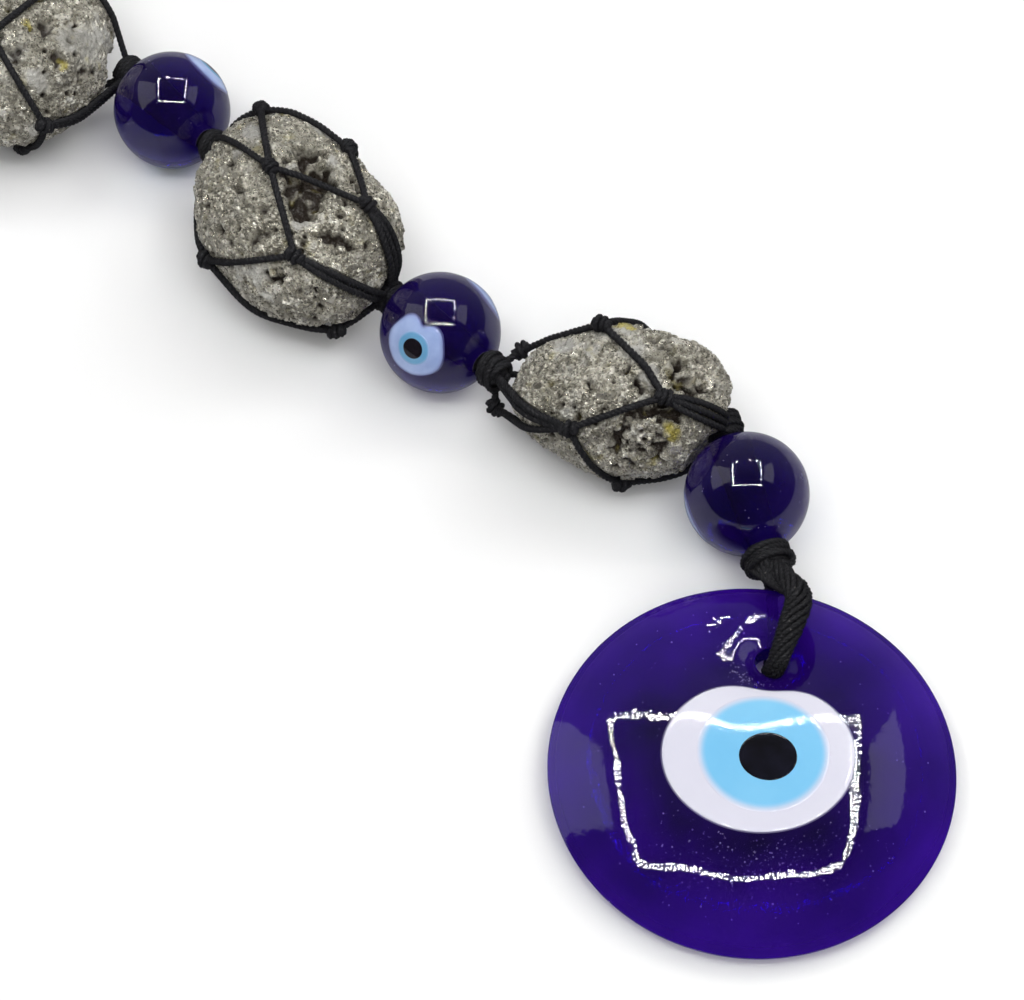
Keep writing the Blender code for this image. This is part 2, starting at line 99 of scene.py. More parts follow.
# ---------------------------------------------------------------- mesh helpers (millimetres in, metres out)
def outward(verts, faces):
    """The faces of a closed shell, turned so that they look out."""
    verts = np.asarray(verts) - np.mean(verts, axis=0)
    volume = 0.0
    for size in (3, 4):
        some = np.array([f for f in faces if len(f) == size])
        for k in range(1, size - 1 if len(some) else 1):
            a, b, c = verts[some[:, 0]], verts[some[:, k]], verts[some[:, k + 1]]
            volume += np.einsum("ij,ij->i", a, np.cross(b, c)).sum()
    return faces if volume > 0 else [tuple(f)[::-1] for f in faces]


def mesh_object(name, verts, faces, finish, smooth=True, closed=True):
    data = bpy.data.meshes.new(name)
    if closed:
        faces = outward(verts, faces)
    data.from_pydata((np.asarray(verts) * MM).tolist(), [], faces)
    data.update()
    if smooth:
        data.shade_smooth()
    data.materials.append(finish)
    made = bpy.data.objects.new(name, data)
    bpy.context.scene.collection.objects.link(made)
    return made


def grid_faces(rows, columns, closed_rows=False):
    faces = []
    for i in range(rows if closed_rows else rows - 1):
        for j in range(columns):
            a, b = i * columns, ((i + 1) % rows) * columns
            k = (j + 1) % columns
            faces.append((a + j, a + k, b + k, b + j))
    return faces


def capped_faces(rows, columns):
    """Quads between rows of points, and a fan to a tip at each end; the two tips come after the rows."""
    faces = grid_faces(rows, columns)
    tip, last = rows * columns, (rows - 1) * columns
    for j in range(columns):
        k = (j + 1) % columns
        faces += [(tip, k, j), (tip + 1, last + j, last + k)]
    return faces


def point_values(piece, name, values):
    layer = piece.data.attributes.new(name, 'FLOAT', 'POINT')
    layer.data.foreach_set("value", values.astype(np.float32))


def turns_of(columns):
    """Evenly spaced angles of a full turn."""
    return np.arange(columns) * math.tau / columns


class Shells:
    """Closed shells gathered into one mesh."""

    def __init__(self):
        self.verts = []
        self.faces = []
        self.count = 0

    def add(self, verts, faces):
        self.verts.append(np.asarray(verts, float))
        self.faces.extend([tuple(int(i) + self.count for i in f) for f in outward(verts, faces)])
        self.count += len(verts)

    def build(self, name, finish):
        return mesh_object(name, np.vstack(self.verts), self.faces, finish, closed=False)


def route(points, step):
    """Even points along a smooth curve through the given rows; extra columns are carried along."""
    rows = np.asarray(points, float)
    rows = np.vstack([2 * rows[0] - rows[1], rows, 2 * rows[-1] - rows[-2]])
    t = np.linspace(0.0, 1.0, 9)[:-1, None]
    dense = []
    for a, b, c, d in zip(rows, rows[1:], rows[2:], rows[3:]):
        dense.append(0.5 * (2 * b + (c - a) * t + (2 * a - 5 * b + 4 * c - d) * t * t
                            + (3 * b - a - 3 * c + d) * t ** 3))
    dense = np.vstack(dense + [rows[-2][None]])
    along = np.concatenate([[0.0], np.cumsum(np.linalg.norm(np.diff(dense[:, :3], axis=0), axis=1))])
    count = max(2, int(round(along[-1] / step)))
    at = np.linspace(0.0, along[-1], count + 1)
    return np.column_stack([np.interp(at, along, dense[:, i]) for i in range(dense.shape[1])])


def frames_along(points):
    """Tangents and two normals carried along a line without twist."""
    tangents = np.gradient(points, axis=0)
    tangents /= np.linalg.norm(tangents, axis=1)[:, None]
    side = np.cross(tangents[0], (0.0, 0.0, 1.0))
    if np.linalg.norm(side) < 0.1:
        side = np.cross(tangents[0], (1.0, 0.0, 0.0))
    side = unit(side)
    sides = []
    for t in tangents:
        side = unit(side - t * side.dot(t))
        sides.append(side)
    sides = np.array(sides)
    return tangents, sides, np.cross(tangents, sides)


SIDES_PER_PLY = 6


def tube(shells, points, radii, plies=3, pitch=2.6, depth=0.28, start_turn=0.0):
    """A laid cord: a cross-section of rounded plies that turns along the line, with rounded ends."""
    points = np.asarray(points, float)
    count = len(points)
    radii = np.broadcast_to(np.asarray(radii, float), (count,)).copy()
    _, a, b = frames_along(points)
    along = np.concatenate([[0.0], np.cumsum(np.linalg.norm(np.diff(points, axis=0), axis=1))])
    sides = plies * SIDES_PER_PLY
    base = turns_of(sides)
    lobe = 1.0 - depth * (1.0 - np.abs(np.cos(plies * base / 2.0))) ** 1.5
    turn = start_turn + along * math.tau / pitch
    angle = base[None, :] + turn[:, None]
    ring = radii[:, None] * lobe[None, :]
    verts = (points[:, None, :] + a[:, None, :] * (ring * np.cos(angle))[:, :, None]
             + b[:, None, :] * (ring * np.sin(angle))[:, :, None]).reshape(-1, 3)
    tip_a = points[0] - unit(points[1] - points[0]) * radii[0] * 0.35
    tip_b = points[-1] + unit(points[-1] - points[-2]) * radii[-1] * 0.35
    shells.add(np.vstack([verts, tip_a, tip_b]), capped_faces(count, sides))


def fbm(points, scale, seed, octaves=3):
    """Fractal noise at points, about -1 to 1; scale is the size of its largest features."""
    offset = Vector((seed * 17.3, seed * 5.1, -seed * 9.7))
    return np.array([noise.fractal(Vector(p) / scale + offset, 1.0, 2.0, octaves) for p in points])


# ---------------------------------------------------------------- node helpers
def shader(name):
    made = bpy.data.materials.new(name)
    made.use_nodes = True
    tree = made.node_tree
    return made, tree, tree.nodes["Principled BSDF"]


def add(tree, kind, **settings):
    node = tree.nodes.new(kind)
    for key, value in settings.items():
        setattr(node, key, value)
    return node


def tune(node, **values):
    """Values of a node's inputs by name, with an underscore for each space."""
    for key, value in values.items():
        node.inputs[key.replace("_", " ")].default_value = value


def link(tree, source, target):
    tree.links.new(source, target)


def ramp(tree, source, stops):
    node = add(tree, 'ShaderNodeValToRGB')
    parts = node.color_ramp.elements
    while len(parts) < len(stops):
        parts.new(0.5)
    for part, (position, colour) in zip(parts, stops):
        part.position = position
        part.color = (*colour, 1.0) if not isinstance(colour, float) else (colour, colour, colour, 1.0)
    link(tree, source, node.inputs["Fac"])
    return node.outputs["Color"]


def mix(tree, factor, a, b, blend='MIX'):
    node = add(tree, 'ShaderNodeMix', data_type='RGBA', blend_type=blend)
    for socket, value in ((node.inputs[0], factor), (node.inputs[6], a), (node.inputs[7], b)):
        if isinstance(value, bpy.types.NodeSocket):
            link(tree, value, socket)
        elif isinstance(value, tuple):
            socket.default_value = (*value, 1.0)
        else:
            socket.default_value = value
    return node.outputs[2]


def maths(tree, operation, a, b=0.0):
    node = add(tree, 'ShaderNodeMath', operation=operation)
    for socket, value in zip(node.inputs, (a, b)):
        if isinstance(value, bpy.types.NodeSocket):
            link(tree, value, socket)
        else:
            socket.default_value = value
    return node.outputs[0]


def spot_texture(tree, kind, scale, **values):
    """A texture in object space; scale is cells per metre."""
    coordinates = add(tree, 'ShaderNodeTexCoord')
    node = add(tree, kind)
    tune(node, Scale=scale, **values)
    link(tree, coordinates.outputs["Object"], node.inputs["Vector"])
    return node


def bump(tree, height, strength, distance, target, below=None):
    node = add(tree, 'ShaderNodeBump')
    tune(node, Strength=strength, Distance=distance)
    link(tree, height, node.inputs["Height"])
    if below is not None:
        link(tree, below, node.inputs["Normal"])
    link(tree, node.outputs["Normal"], target)
    return node.outputs["Normal"]


# ---------------------------------------------------------------- materials
def make_cord_material():
    made, tree, base = shader("waxed_cord_black")
    fibre = spot_texture(tree, 'ShaderNodeTexNoise', 5200.0, Detail=3.0)
    wear = spot_texture(tree, 'ShaderNodeTexNoise', 350.0)
    colour = ramp(tree, fibre.outputs["Fac"], [(0.3, (0.004, 0.004, 0.005)), (0.55, (0.011, 0.011, 0.013)),
                                              (0.8, (0.035, 0.034, 0.036))])
    lint = spot_texture(tree, 'ShaderNodeTexVoronoi', 420.0)
    speck = ramp(tree, lint.outputs["Distance"], [(0.0, 1.0), (0.055, 1.0), (0.075, 0.0)])
    link(tree, mix(tree, maths(tree, 'MULTIPLY', speck, 0.55), colour, (0.16, 0.15, 0.14)),
         base.inputs["Base Color"])
    rough = ramp(tree, wear.outputs["Fac"], [(0.3, 0.5), (0.7, 0.72)])
    link(tree, rough, base.inputs["Roughness"])
    tune(base, Specular_IOR_Level=0.35)
    bump(tree, fibre.outputs["Fac"], 0.35, 0.00008, base.inputs["Normal"])
    return made


def make_cord_core_material():
    """The paler yarn ends where a cord was cut."""
    made, tree, base = shader("cord_cut_end")
    yarn = spot_texture(tree, 'ShaderNodeTexVoronoi', 4200.0)
    link(tree, ramp(tree, yarn.outputs["Distance"], [(0.1, (0.34, 0.27, 0.26)), (0.6, (0.10, 0.08, 0.08))]),
         base.inputs["Base Color"])
    tune(base, Roughness=0.8)
    return made


def make_pyrite_material():
    made, tree, base = shader("pyrite_crust")
    tone = add(tree, 'ShaderNodeAttribute', attribute_name="tone")
    rise_and_painted_shade = add(tree, 'ShaderNodeAttribute', attribute_name="rise_and_painted_shade")
    stain = add(tree, 'ShaderNodeAttribute', attribute_name="stain")
    quartz = add(tree, 'ShaderNodeAttribute', attribute_name="quartz")
    grain = spot_texture(tree, 'ShaderNodeTexVoronoi', 3400.0)
    patches = spot_texture(tree, 'ShaderNodeTexNoise', 170.0, Detail=4.0)
    metal = ramp(tree, tone.outputs["Fac"], [(0.0, (0.12, 0.11, 0.09)), (0.3, (0.31, 0.295, 0.245)),
                                            (0.65, (0.56, 0.535, 0.455)), (1.0, (0.95, 0.92, 0.82))])
    shade = ramp(tree, grain.outputs["Color"], [(0.2, (0.25, 0.25, 0.25)), (0.8, (0.78, 0.77, 0.75))])
    metal = mix(tree, 0.6, metal, shade, 'SOFT_LIGHT')
    rock = ramp(tree, patches.outputs["Fac"], [(0.3, (0.20, 0.195, 0.175)), (0.55, (0.34, 0.335, 0.315)),
                                              (0.8, (0.52, 0.52, 0.49))])
    grey = ramp(tree, patches.outputs["Fac"], [(0.60, 0.0), (0.68, 0.7)])
    is_rock = maths(tree, 'MAXIMUM', maths(tree, 'MULTIPLY', quartz.outputs["Fac"], 0.85), grey)
    colour = mix(tree, is_rock, metal, rock)
    # painted shade: in hollows, low places and the dark patches the crust is painted near black and loses its
    # metal
    painted_shade_mask = ramp(tree, rise_and_painted_shade.outputs["Fac"], [(0.05, 0.0), (0.5, 1.0)])
    colour = mix(tree, painted_shade_mask, (0.022, 0.017, 0.013), colour)
    colour = mix(tree, maths(tree, 'MULTIPLY', stain.outputs["Fac"], 0.75), colour, (0.40, 0.34, 0.05))
    link(tree, colour, base.inputs["Base Color"])
    metallic = maths(tree, 'MULTIPLY', maths(tree, 'SUBTRACT', 1.0, is_rock), painted_shade_mask)
    metallic = maths(tree, 'MULTIPLY', metallic, 0.74)
    link(tree, metallic, base.inputs["Metallic"])
    rough = ramp(tree, grain.outputs["Color"], [(0.0, 0.18), (1.0, 0.52)])
    link(tree, rough, base.inputs["Roughness"])
    bump(tree, grain.outputs["Distance"], 0.6, 0.00012, base.inputs["Normal"])
    return made


def make_glass(name, absorbed, density, body, body_share, painted_rim_glow):
    """Coloured glass: light is absorbed along its way through, with a cloudy body, and more of the body at
    grazing views as a painted glow of light passing through the thin rim.

    The "reach" attribute, 0 at the middle of a flat piece and 1 at its edge, adds more cloud outside.
    """
    made, tree, base = shader(name)
    output = tree.nodes["Material Output"]
    tune(base, Base_Color=(1.0, 1.0, 1.0, 1.0), Transmission_Weight=1.0, Roughness=0.018, IOR=1.5,
         Coat_Weight=0.8, Coat_IOR=1.6, Coat_Roughness=0.01)
    volume = add(tree, 'ShaderNodeVolumeAbsorption')
    tune(volume, Color=(*absorbed, 1.0), Density=density)
    link(tree, volume.outputs[0], output.inputs["Volume"])
    haze = add(tree, 'ShaderNodeBsdfPrincipled')
    tune(haze, Base_Color=(*body, 1.0), Roughness=0.03)
    cloud = spot_texture(tree, 'ShaderNodeTexNoise', 95.0, Detail=3.0)
    link(tree, ramp(tree, cloud.outputs["Fac"], [(0.3, tuple(0.7 * c for c in body)), (0.7, body)]),
         haze.inputs["Base Color"])
    amount = ramp(tree, cloud.outputs["Fac"], [(0.3, body_share * 0.55), (0.7, body_share * 1.35)])
    facing = add(tree, 'ShaderNodeLayerWeight')
    tune(facing, Blend=0.3)
    # painted glow: more blue body at grazing views stands in for light passing through the thin rim
    rim = maths(tree, 'MULTIPLY', maths(tree, 'POWER', facing.outputs["Facing"], 1.6), painted_rim_glow)
    amount = maths(tree, 'ADD', amount, rim)
    reach = add(tree, 'ShaderNodeAttribute', attribute_name="reach")
    outside = ramp(tree, reach.outputs["Fac"], [(0.50, 0.0), (0.74, 0.11), (1.0, 0.18)])
    amount = maths(tree, 'ADD', amount, outside)
    blendv = add(tree, 'ShaderNodeMixShader')
    link(tree, amount, blendv.inputs[0])
    link(tree, base.outputs[0], blendv.inputs[1])
    link(tree, haze.outputs[0], blendv.inputs[2])
    clear = add(tree, 'ShaderNodeBsdfTransparent')
    tune(clear, Color=(0.38, 0.375, 0.41, 1.0))
    path = add(tree, 'ShaderNodeLightPath')
    last = add(tree, 'ShaderNodeMixShader')
    dim = maths(tree, 'MAXIMUM', path.outputs["Is Shadow Ray"], path.outputs["Is Diffuse Ray"])
    link(tree, dim, last.inputs[0])
    link(tree, blendv.outputs[0], last.inputs[1])
    link(tree, clear.outputs[0], last.inputs[2])
    link(tree, last.outputs[0], output.inputs["Surface"])
    for target in (base, haze):
        poured_surface(tree, target.inputs["Normal"])
    link(tree, base.inputs["Normal"].links[0].from_socket, base.inputs["Coat Normal"])
    return made


def poured_surface(tree, target):
    """Slow waves and fine ripples of a hand-poured face."""
    wave = spot_texture(tree, 'ShaderNodeTexNoise', 260.0, Detail=1.0)
    ripple = spot_texture(tree, 'ShaderNodeTexNoise', 1300.0, Detail=1.0)
    first = add(tree, 'ShaderNodeBump')
    tune(first, Strength=0.018, Distance=0.001)
    link(tree, wave.outputs["Fac"], first.inputs["Height"])
    bump(tree, ripple.outputs["Fac"], 0.05, 0.0002, target, below=first.outputs["Normal"])


def make_opaque_glass(name, light, dark, scale, roughness=0.05, ring=None, coat=0.4):
    """Glossy opaque glass with soft clouding; ring is (inner, outer, colour) round the local Z axis."""
    made, tree, base = shader(name)
    cloud = spot_texture(tree, 'ShaderNodeTexNoise', scale, Detail=4.0)
    colour = ramp(tree, cloud.outputs["Fac"], [(0.35, dark), (0.65, light)])
    if ring is not None:
        inner, outer, edge = ring
        reach = add(tree, 'ShaderNodeAttribute', attribute_name="reach")
        fade = add(tree, 'ShaderNodeMapRange', interpolation_type='SMOOTHSTEP')
        tune(fade, From_Min=inner, From_Max=outer)
        link(tree, reach.outputs["Fac"], fade.inputs["Value"])
        colour = mix(tree, fade.outputs[0], colour, edge)
    link(tree, colour, base.inputs["Base Color"])
    tune(base, Roughness=roughness, Coat_Weight=coat, Coat_Roughness=0.02)
    poured_surface(tree, base.inputs["Normal"])
    return made


def make_bubble_material():
    made, tree, base = shader("trapped_bubbles")
    cloud = spot_texture(tree, 'ShaderNodeTexNoise', 500.0)
    link(tree, ramp(tree, cloud.outputs["Fac"], [(0.35, (0.30, 0.28, 0.55)), (0.65, (0.85, 0.82, 0.95))]),
         base.inputs["Base Color"])
    tune(base, Roughness=0.3)
    return made


def make_floor_material():
    made, tree, base = shader("pale_table")
    cloud = spot_texture(tree, 'ShaderNodeTexNoise', 14.0)
    pale = ramp(tree, cloud.outputs["Fac"], [(0.3, (0.80, 0.80, 0.80)), (0.7, (0.83, 0.83, 0.83))])
    path = add(tree, 'ShaderNodeLightPath')
    link(tree, mix(tree, path.outputs["Is Glossy Ray"], pale, (0.30, 0.30, 0.32)), base.inputs["Base Color"])
    tune(base, Roughness=0.9, Specular_IOR_Level=0.0)
    return made


cord_black = make_cord_material()
cord_core = make_cord_core_material()
pyrite = make_pyrite_material()
pendant_cobalt = make_glass("cobalt_glass_pendant", (0.40, 0.08, 0.87), 760.0, (0.085, 0.01, 0.58),
                            0.09, 0.38)
bead_cobalt = make_glass("cobalt_glass_bead", (0.40, 0.08, 0.86), 520.0, (0.06, 0.012, 0.36), 0.07, 0.26)
bore_glass = make_opaque_glass("bead_bore_glass", (0.016, 0.006, 0.11), (0.010, 0.004, 0.07), 300.0,
                               roughness=0.9, coat=0.0)
bubble_white = make_bubble_material()
floor_pale = make_floor_material()

# ---------------------------------------------------------------- numbers shared with the CAD part
BEAD_RADIUS = 10.0
BORE_RADIUS = 2.0
NECK_REACH = 12.3
KNOT_AIR = 0.4                               # kept between a knot and its bead, so that the neck can bend
CORD_RADIUS = 0.6
CORD_AIR = CORD_RADIUS + 0.22                # from a cord's middle to the skin under it
BEADS = {
    1: {"centre": (-58.5, 72.3, 10.0), "bore": (0.644, -0.754, 0.13),
        "eyes": ((0.697, 0.563, 0.443), (-0.14, -0.45, -0.88))},
    2: {"centre": (-11.8, 26.1, 10.0), "bore": (0.708, -0.693, 0.13),
        "eyes": ((-0.43, -0.70, 0.57), (0.78, 0.59, 0.21))},
    3: {"centre": (37.4, -4.9, 10.0), "bore": (0.26, -0.962, -0.08),
        "eyes": ((-0.88, -0.21, -0.43), (0.86, 0.34, -0.38))},
}
STONES = {
    1: {"centre": (-87.0, 84.2, 13.4), "half": (20.6, 17.3, 11.2), "heading": 100.0},
    2: {"centre": (-36.2, 46.5, 13.2), "half": (20.7, 14.8, 11.2), "heading": 117.0},
    3: {"centre": (17.6, 10.8, 12.5), "half": (17.4, 12.0, 10.6), "heading": 171.0},
}
NET_TOP = (-105.8, 95.4, 10.0)
NETS = {
    1: {"knots": {"a": (-96, 55), "b": (36, 29), "c": (-68, 6), "d": (-84.8, 68.6, 4.6), "e": (150, 40),
                  "f": (95, 5), "g": (-40, -52), "h": (150, -42)},
        "strands": ("top-a", "top-e", "top-d", "top-h", "a-b", "a-c", "e-b", "e-f", "f-b", "c-d",
                    "f-h", "d-h", "d-g", "f-g", "b-end", "c-end", "g-end"),
        "doubled": (("c-end", 1.25),)},
    2: {"knots": {"a": (108, 15), "b": (150, 71), "c": (46, 30), "d": (-17, 34), "e": (-85, 32),
                  "f": (-157, -7), "g": (-69, -12), "h": (80, -45), "i": (-120, -55)},
        "strands": ("top-a", "top-b", "top-f", "a-b", "a-c", "b-d", "b-e", "c-d", "e-f", "d-end",
                    "e-end", "f-g", "g-end", "a-h", "f-i", "h-i", "c-h", "h-end", "g-i"),
        "doubled": (("d-end", 1.3), ("d-end", -1.3), ("h-end", 1.3), ("e-end", 1.2))},
    3: {"knots": {"a": (112, 49), "b": (-136, 25), "c": (-38, 46), "d": (-90, -27),
                  "e": (-2.6, 14.4, 5.4), "f": (60, -5), "g": (110, -45), "h": (-70, -58),
                  "i": (1.6, 20.8, 12.6)},
        "strands": ("top-i", "i-a", "top-b", "top-e", "e-b", "a-c", "b-c", "b-d", "a-f", "e-h",
                    "d-h", "f-g", "g-h", "c-end", "d-end", "f-end", "g-top"),
        "doubled": (("top-b", 1.2), ("c-end", 1.3), ("d-end", 1.3), ("c-end", -1.3))},
}


def bead_centre(number):
    return place(*BEADS[number]["centre"])


def neck_point(bead, side):
    return bead_centre(bead) + unit(BEADS[bead]["bore"]) * side * NECK_REACH


# ---------------------------------------------------------------- hanging loop
HANGER_CORD = 1.25
HANGER_HEADING = 170.0
HANGER_START = 2.7 + 0.3 + 0.05
HANGER_LONG, HANGER_WIDE = 58.0, 15.0


def build_hanging_loop():
    """The upper end of the cord, beyond the view: the CAD route, as a laid cord."""
    knot = place(*NET_TOP)
    heading = math.radians(HANGER_HEADING)
    ahead_axis = np.array((math.cos(heading), math.sin(heading), 0.0))
    across_axis = np.array((-math.sin(heading), math.cos(heading), 0.0))
    rest = HANGER_CORD + 0.05
    count = 40
    points = []
    for k in range(count + 1):
        share = k / count
        angle = math.tau * share
        ahead = HANGER_START + HANGER_LONG * math.sin(angle / 2) ** 1.2
        across = HANGER_WIDE * math.sin(angle) * (1 - 0.25 * math.cos(angle)) + 1.4 * math.cos(angle / 2)
        drop = min(1.0, min(share, 1 - share) / 0.16)
        eased = drop * drop * (3 - 2 * drop)
        point = knot + ahead_axis * ahead + across_axis * across
        point[2] = knot[2] + (rest - knot[2]) * eased
        points.append(point)
    points = np.array(points)
    line = route(points, 0.5)
    shells = Shells()
    tube(shells, line, HANGER_CORD, plies=3, pitch=7.0, depth=0.16)
    loop = shells.build("hanging_loop_cord", cord_black)
    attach(loop, "hanger")
    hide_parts("hanging_loop")


build_hanging_loop()


# ---------------------------------------------------------------- pyrite lumps and their nets
def sphere_grid(n):
    """Unit directions of a cube's faces divided n times, and the quads between them."""
    t = np.tan(np.linspace(-1.0, 1.0, n + 1) * math.pi / 4)
    u, v = np.meshgrid(t, t, indexing="ij")
    one = np.ones_like(u)
    sheets = [(one, u, v), (-one, v, u), (v, one, u), (u, -one, v), (u, v, one), (v, u, -one)]
    points = np.vstack([np.stack(s, axis=-1).reshape(-1, 3) for s in sheets])
    i, j = np.meshgrid(np.arange(n), np.arange(n), indexing="ij")
    corner = (i * (n + 1) + j).ravel()
    quad = np.stack([corner, corner + n + 1, corner + n + 2, corner + 1], axis=1)
    quads = np.vstack([quad + k * (n + 1) ** 2 for k in range(6)])
    _, first, inverse = np.unique(np.round(points, 6), axis=0, return_index=True, return_inverse=True)
    quads = inverse.ravel()[quads]
    points = points[first]
    return points / np.linalg.norm(points, axis=1)[:, None], quads


def edges_of(quads):
    pairs = np.vstack([quads[:, [k, (k + 1) % 4]] for k in range(4)])
    return np.unique(np.sort(pairs, axis=1), axis=0)


def averaged(values, edges, rounds):
    count = np.bincount(edges.ravel(), minlength=len(values)).astype(float)
    for _ in range(rounds):
        total = (np.bincount(edges[:, 0], weights=values[edges[:, 1]], minlength=len(values))
                 + np.bincount(edges[:, 1], weights=values[edges[:, 0]], minlength=len(values)))
        values = 0.5 * values + 0.5 * total / count
    return values


def normals_of(points, quads):
    a, b, c, d = (points[quads[:, k]] for k in range(4))
    flat = np.cross(c - a, d - b)
    total = np.zeros_like(points)
    for k in range(4):
        for axis in range(3):
            total[:, axis] += np.bincount(quads[:, k], weights=flat[:, axis], minlength=len(points))
    return total / np.linalg.norm(total, axis=1)[:, None]


GRID = 126


def lump_base(number):
    """The lump's smooth skin, read from its CAD solid, before crystals: points, normals, quads, edges."""
    spec = STONES[number]
    data = frame["nodes"][f"pyrite_lump_{number}"].data
    corners = [v.co / MM for v in data.vertices]
    tree = BVHTree.FromPolygons(corners, [tuple(p.vertices) for p in data.polygons])
    middle = place(*spec["centre"])
    dirs, quads = sphere_grid(GRID)
    dirs = dirs * np.array(spec["half"])
    h = math.radians(spec["heading"])
    dirs = np.column_stack([dirs[:, 0] * math.cos(h) - dirs[:, 1] * math.sin(h),
                            dirs[:, 0] * math.sin(h) + dirs[:, 1] * math.cos(h), dirs[:, 2]])
    dirs /= np.linalg.norm(dirs, axis=1)[:, None]
    start = Vector(middle)
    reach = np.array([tree.ray_cast(start, Vector(d))[3] for d in dirs])
    edges = edges_of(quads)
    reach = averaged(reach, edges, GRID // 5)
    points = middle + dirs * reach[:, None]
    normals = normals_of(points, quads)
    if np.einsum("ij,ij->i", normals, dirs).mean() < 0:
        quads = quads[:, ::-1]
        normals = -normals
    return {"middle": middle, "points": points, "normals": normals, "quads": quads, "edges": edges}


def push_out(point, skin, clearance, balls):
    for _ in range(3):
        spot, normal, _, _ = skin.find_nearest(Vector(point))
        spot, normal = np.array(spot), np.array(normal)
        away = (point - spot).dot(normal)
        if away < clearance:
            point = point + normal * (clearance - away)
        for centre, radius in balls:
            offset = point - centre
            far = np.linalg.norm(offset)
            if far < radius + clearance:
                point = centre + offset / far * (radius + clearance)
        point[2] = max(point[2], CORD_RADIUS + 0.05)
    return point


def taut_strand(start, end, middle, skin, balls, clearance):
    """A cord pulled tight round a lump."""
    a, b = start - middle, end - middle
    la, lb = np.linalg.norm(a), np.linalg.norm(b)
    sweep = math.acos(max(-1.0, min(1.0, a.dot(b) / la / lb)))
    count = max(4, int(round(sweep * 0.5 * (la + lb) / 2.0)) + 1)
    turn = Quaternion(Vector(np.cross(a, b)).normalized(), sweep / (count - 1))
    spoke = Vector(a / la)
    points = []
    for k in range(count):
        share = k / (count - 1)
        points.append(middle + np.array(spoke) * (la * (1 - share) + lb * share))
        spoke = turn @ spoke
    points[-1] = end
    for _ in range(24):
        for k in range(1, count - 1):
            points[k] = push_out((points[k - 1] + points[k + 1]) * 0.5, skin, clearance, balls)
    return np.array(points)


def clear_of_bead(points, bead, cord):
    """Points pushed out so far that a cord laid on them leaves room for the bead to tilt."""
    away = np.asarray(points, float) - bead_centre(bead)
    far = np.linalg.norm(away, axis=1)[:, None]
    return bead_centre(bead) + away * np.maximum(1.0, (BEAD_RADIUS + cord + KNOT_AIR) / far)


def barrel_knot(shells, centre, axis, radius, length, cord, turns, phase=0.0, lean=0.0, bead=None):
    """Cord wound round a bundle: a helix whose ends dive in, over a filled middle, clear of its bead."""
    axis = unit(axis)
    side = unit(np.cross(axis, (0.31, 0.52, 0.8)))
    other = np.cross(axis, side)
    steps = int(turns * 22)
    t = np.linspace(0.0, 1.0, steps + 1)
    angle = phase + t * turns * math.tau
    swell = np.clip(np.minimum(t, 1 - t) * turns * 1.6, 0.0, 1.0)
    middle = (radius - cord) * (0.35 + 0.65 * swell) * (1.0 + 0.10 * np.sin(angle * 0.37 + phase * 3))
    along = (t - 0.5) * (length - 2 * cord) + lean * np.sin(angle)
    points = (centre + axis * along[:, None] + side * (middle * np.cos(angle))[:, None]
              + other * (middle * np.sin(angle))[:, None])
    reach = 1.0
    if bead in BEADS:
        points = clear_of_bead(points, bead, cord)
        reach = 0.7
    tube(shells, route(points, 0.32), cord, plies=3, pitch=2.4, depth=0.22)
    core = [centre + axis * s * reach * (length * 0.5 - 0.3) for s in (-1.0, -0.35, 0.35, 1.0)]
    tube(shells, route(core, 0.4), max(0.5, radius - 1.25 * cord), plies=4, pitch=9.0, depth=0.12)


def knot_axis(directions):
    grid = sum(np.outer(d, d) for d in directions)
    return np.linalg.eigh(grid)[1][:, -1]


def net_layout(number, base):
    """Places of a net's knots and the routes of its strands over the smooth skin."""
    spec = NETS[number]
    skin = BVHTree.FromPolygons([Vector(p) for p in base["points"]], base["quads"].tolist())
    beads = [(bead_centre(k), BEAD_RADIUS) for k in (number - 1, number) if k in BEADS]
    places = {"top": place(*NET_TOP) if number == 1 else neck_point(number - 1, 1),
              "end": neck_point(number, -1)}
    for tag, where in spec["knots"].items():
        if len(where) == 3:
            spot = place(*where)
        else:
            spot = np.array(skin.ray_cast(Vector(base["middle"]), Vector(toward(*where)))[0])
        places[tag] = push_out(spot, skin, 1.15, beads)
        places[tag][2] = max(places[tag][2], 1.4)
    routes = {}
    for pair in spec["strands"]:
        start, end = pair.split("-")
        routes[pair] = taut_strand(places[start], places[end], base["middle"], skin, beads, CORD_AIR)
    for pair, beside in spec["doubled"]:
        line = routes[pair]
        along = np.gradient(line, axis=0)
        sideways = np.cross(along, line - base["middle"])
        sideways /= np.linalg.norm(sideways, axis=1)[:, None]
        share = np.sin(np.linspace(0.0, math.pi, len(line))) ** 0.6
        shifted = line + sideways * (share * beside)[:, None]
        routes[f"{pair}-beside{beside}"] = np.array([push_out(p, skin, CORD_AIR, beads) for p in shifted])
    return places, routes
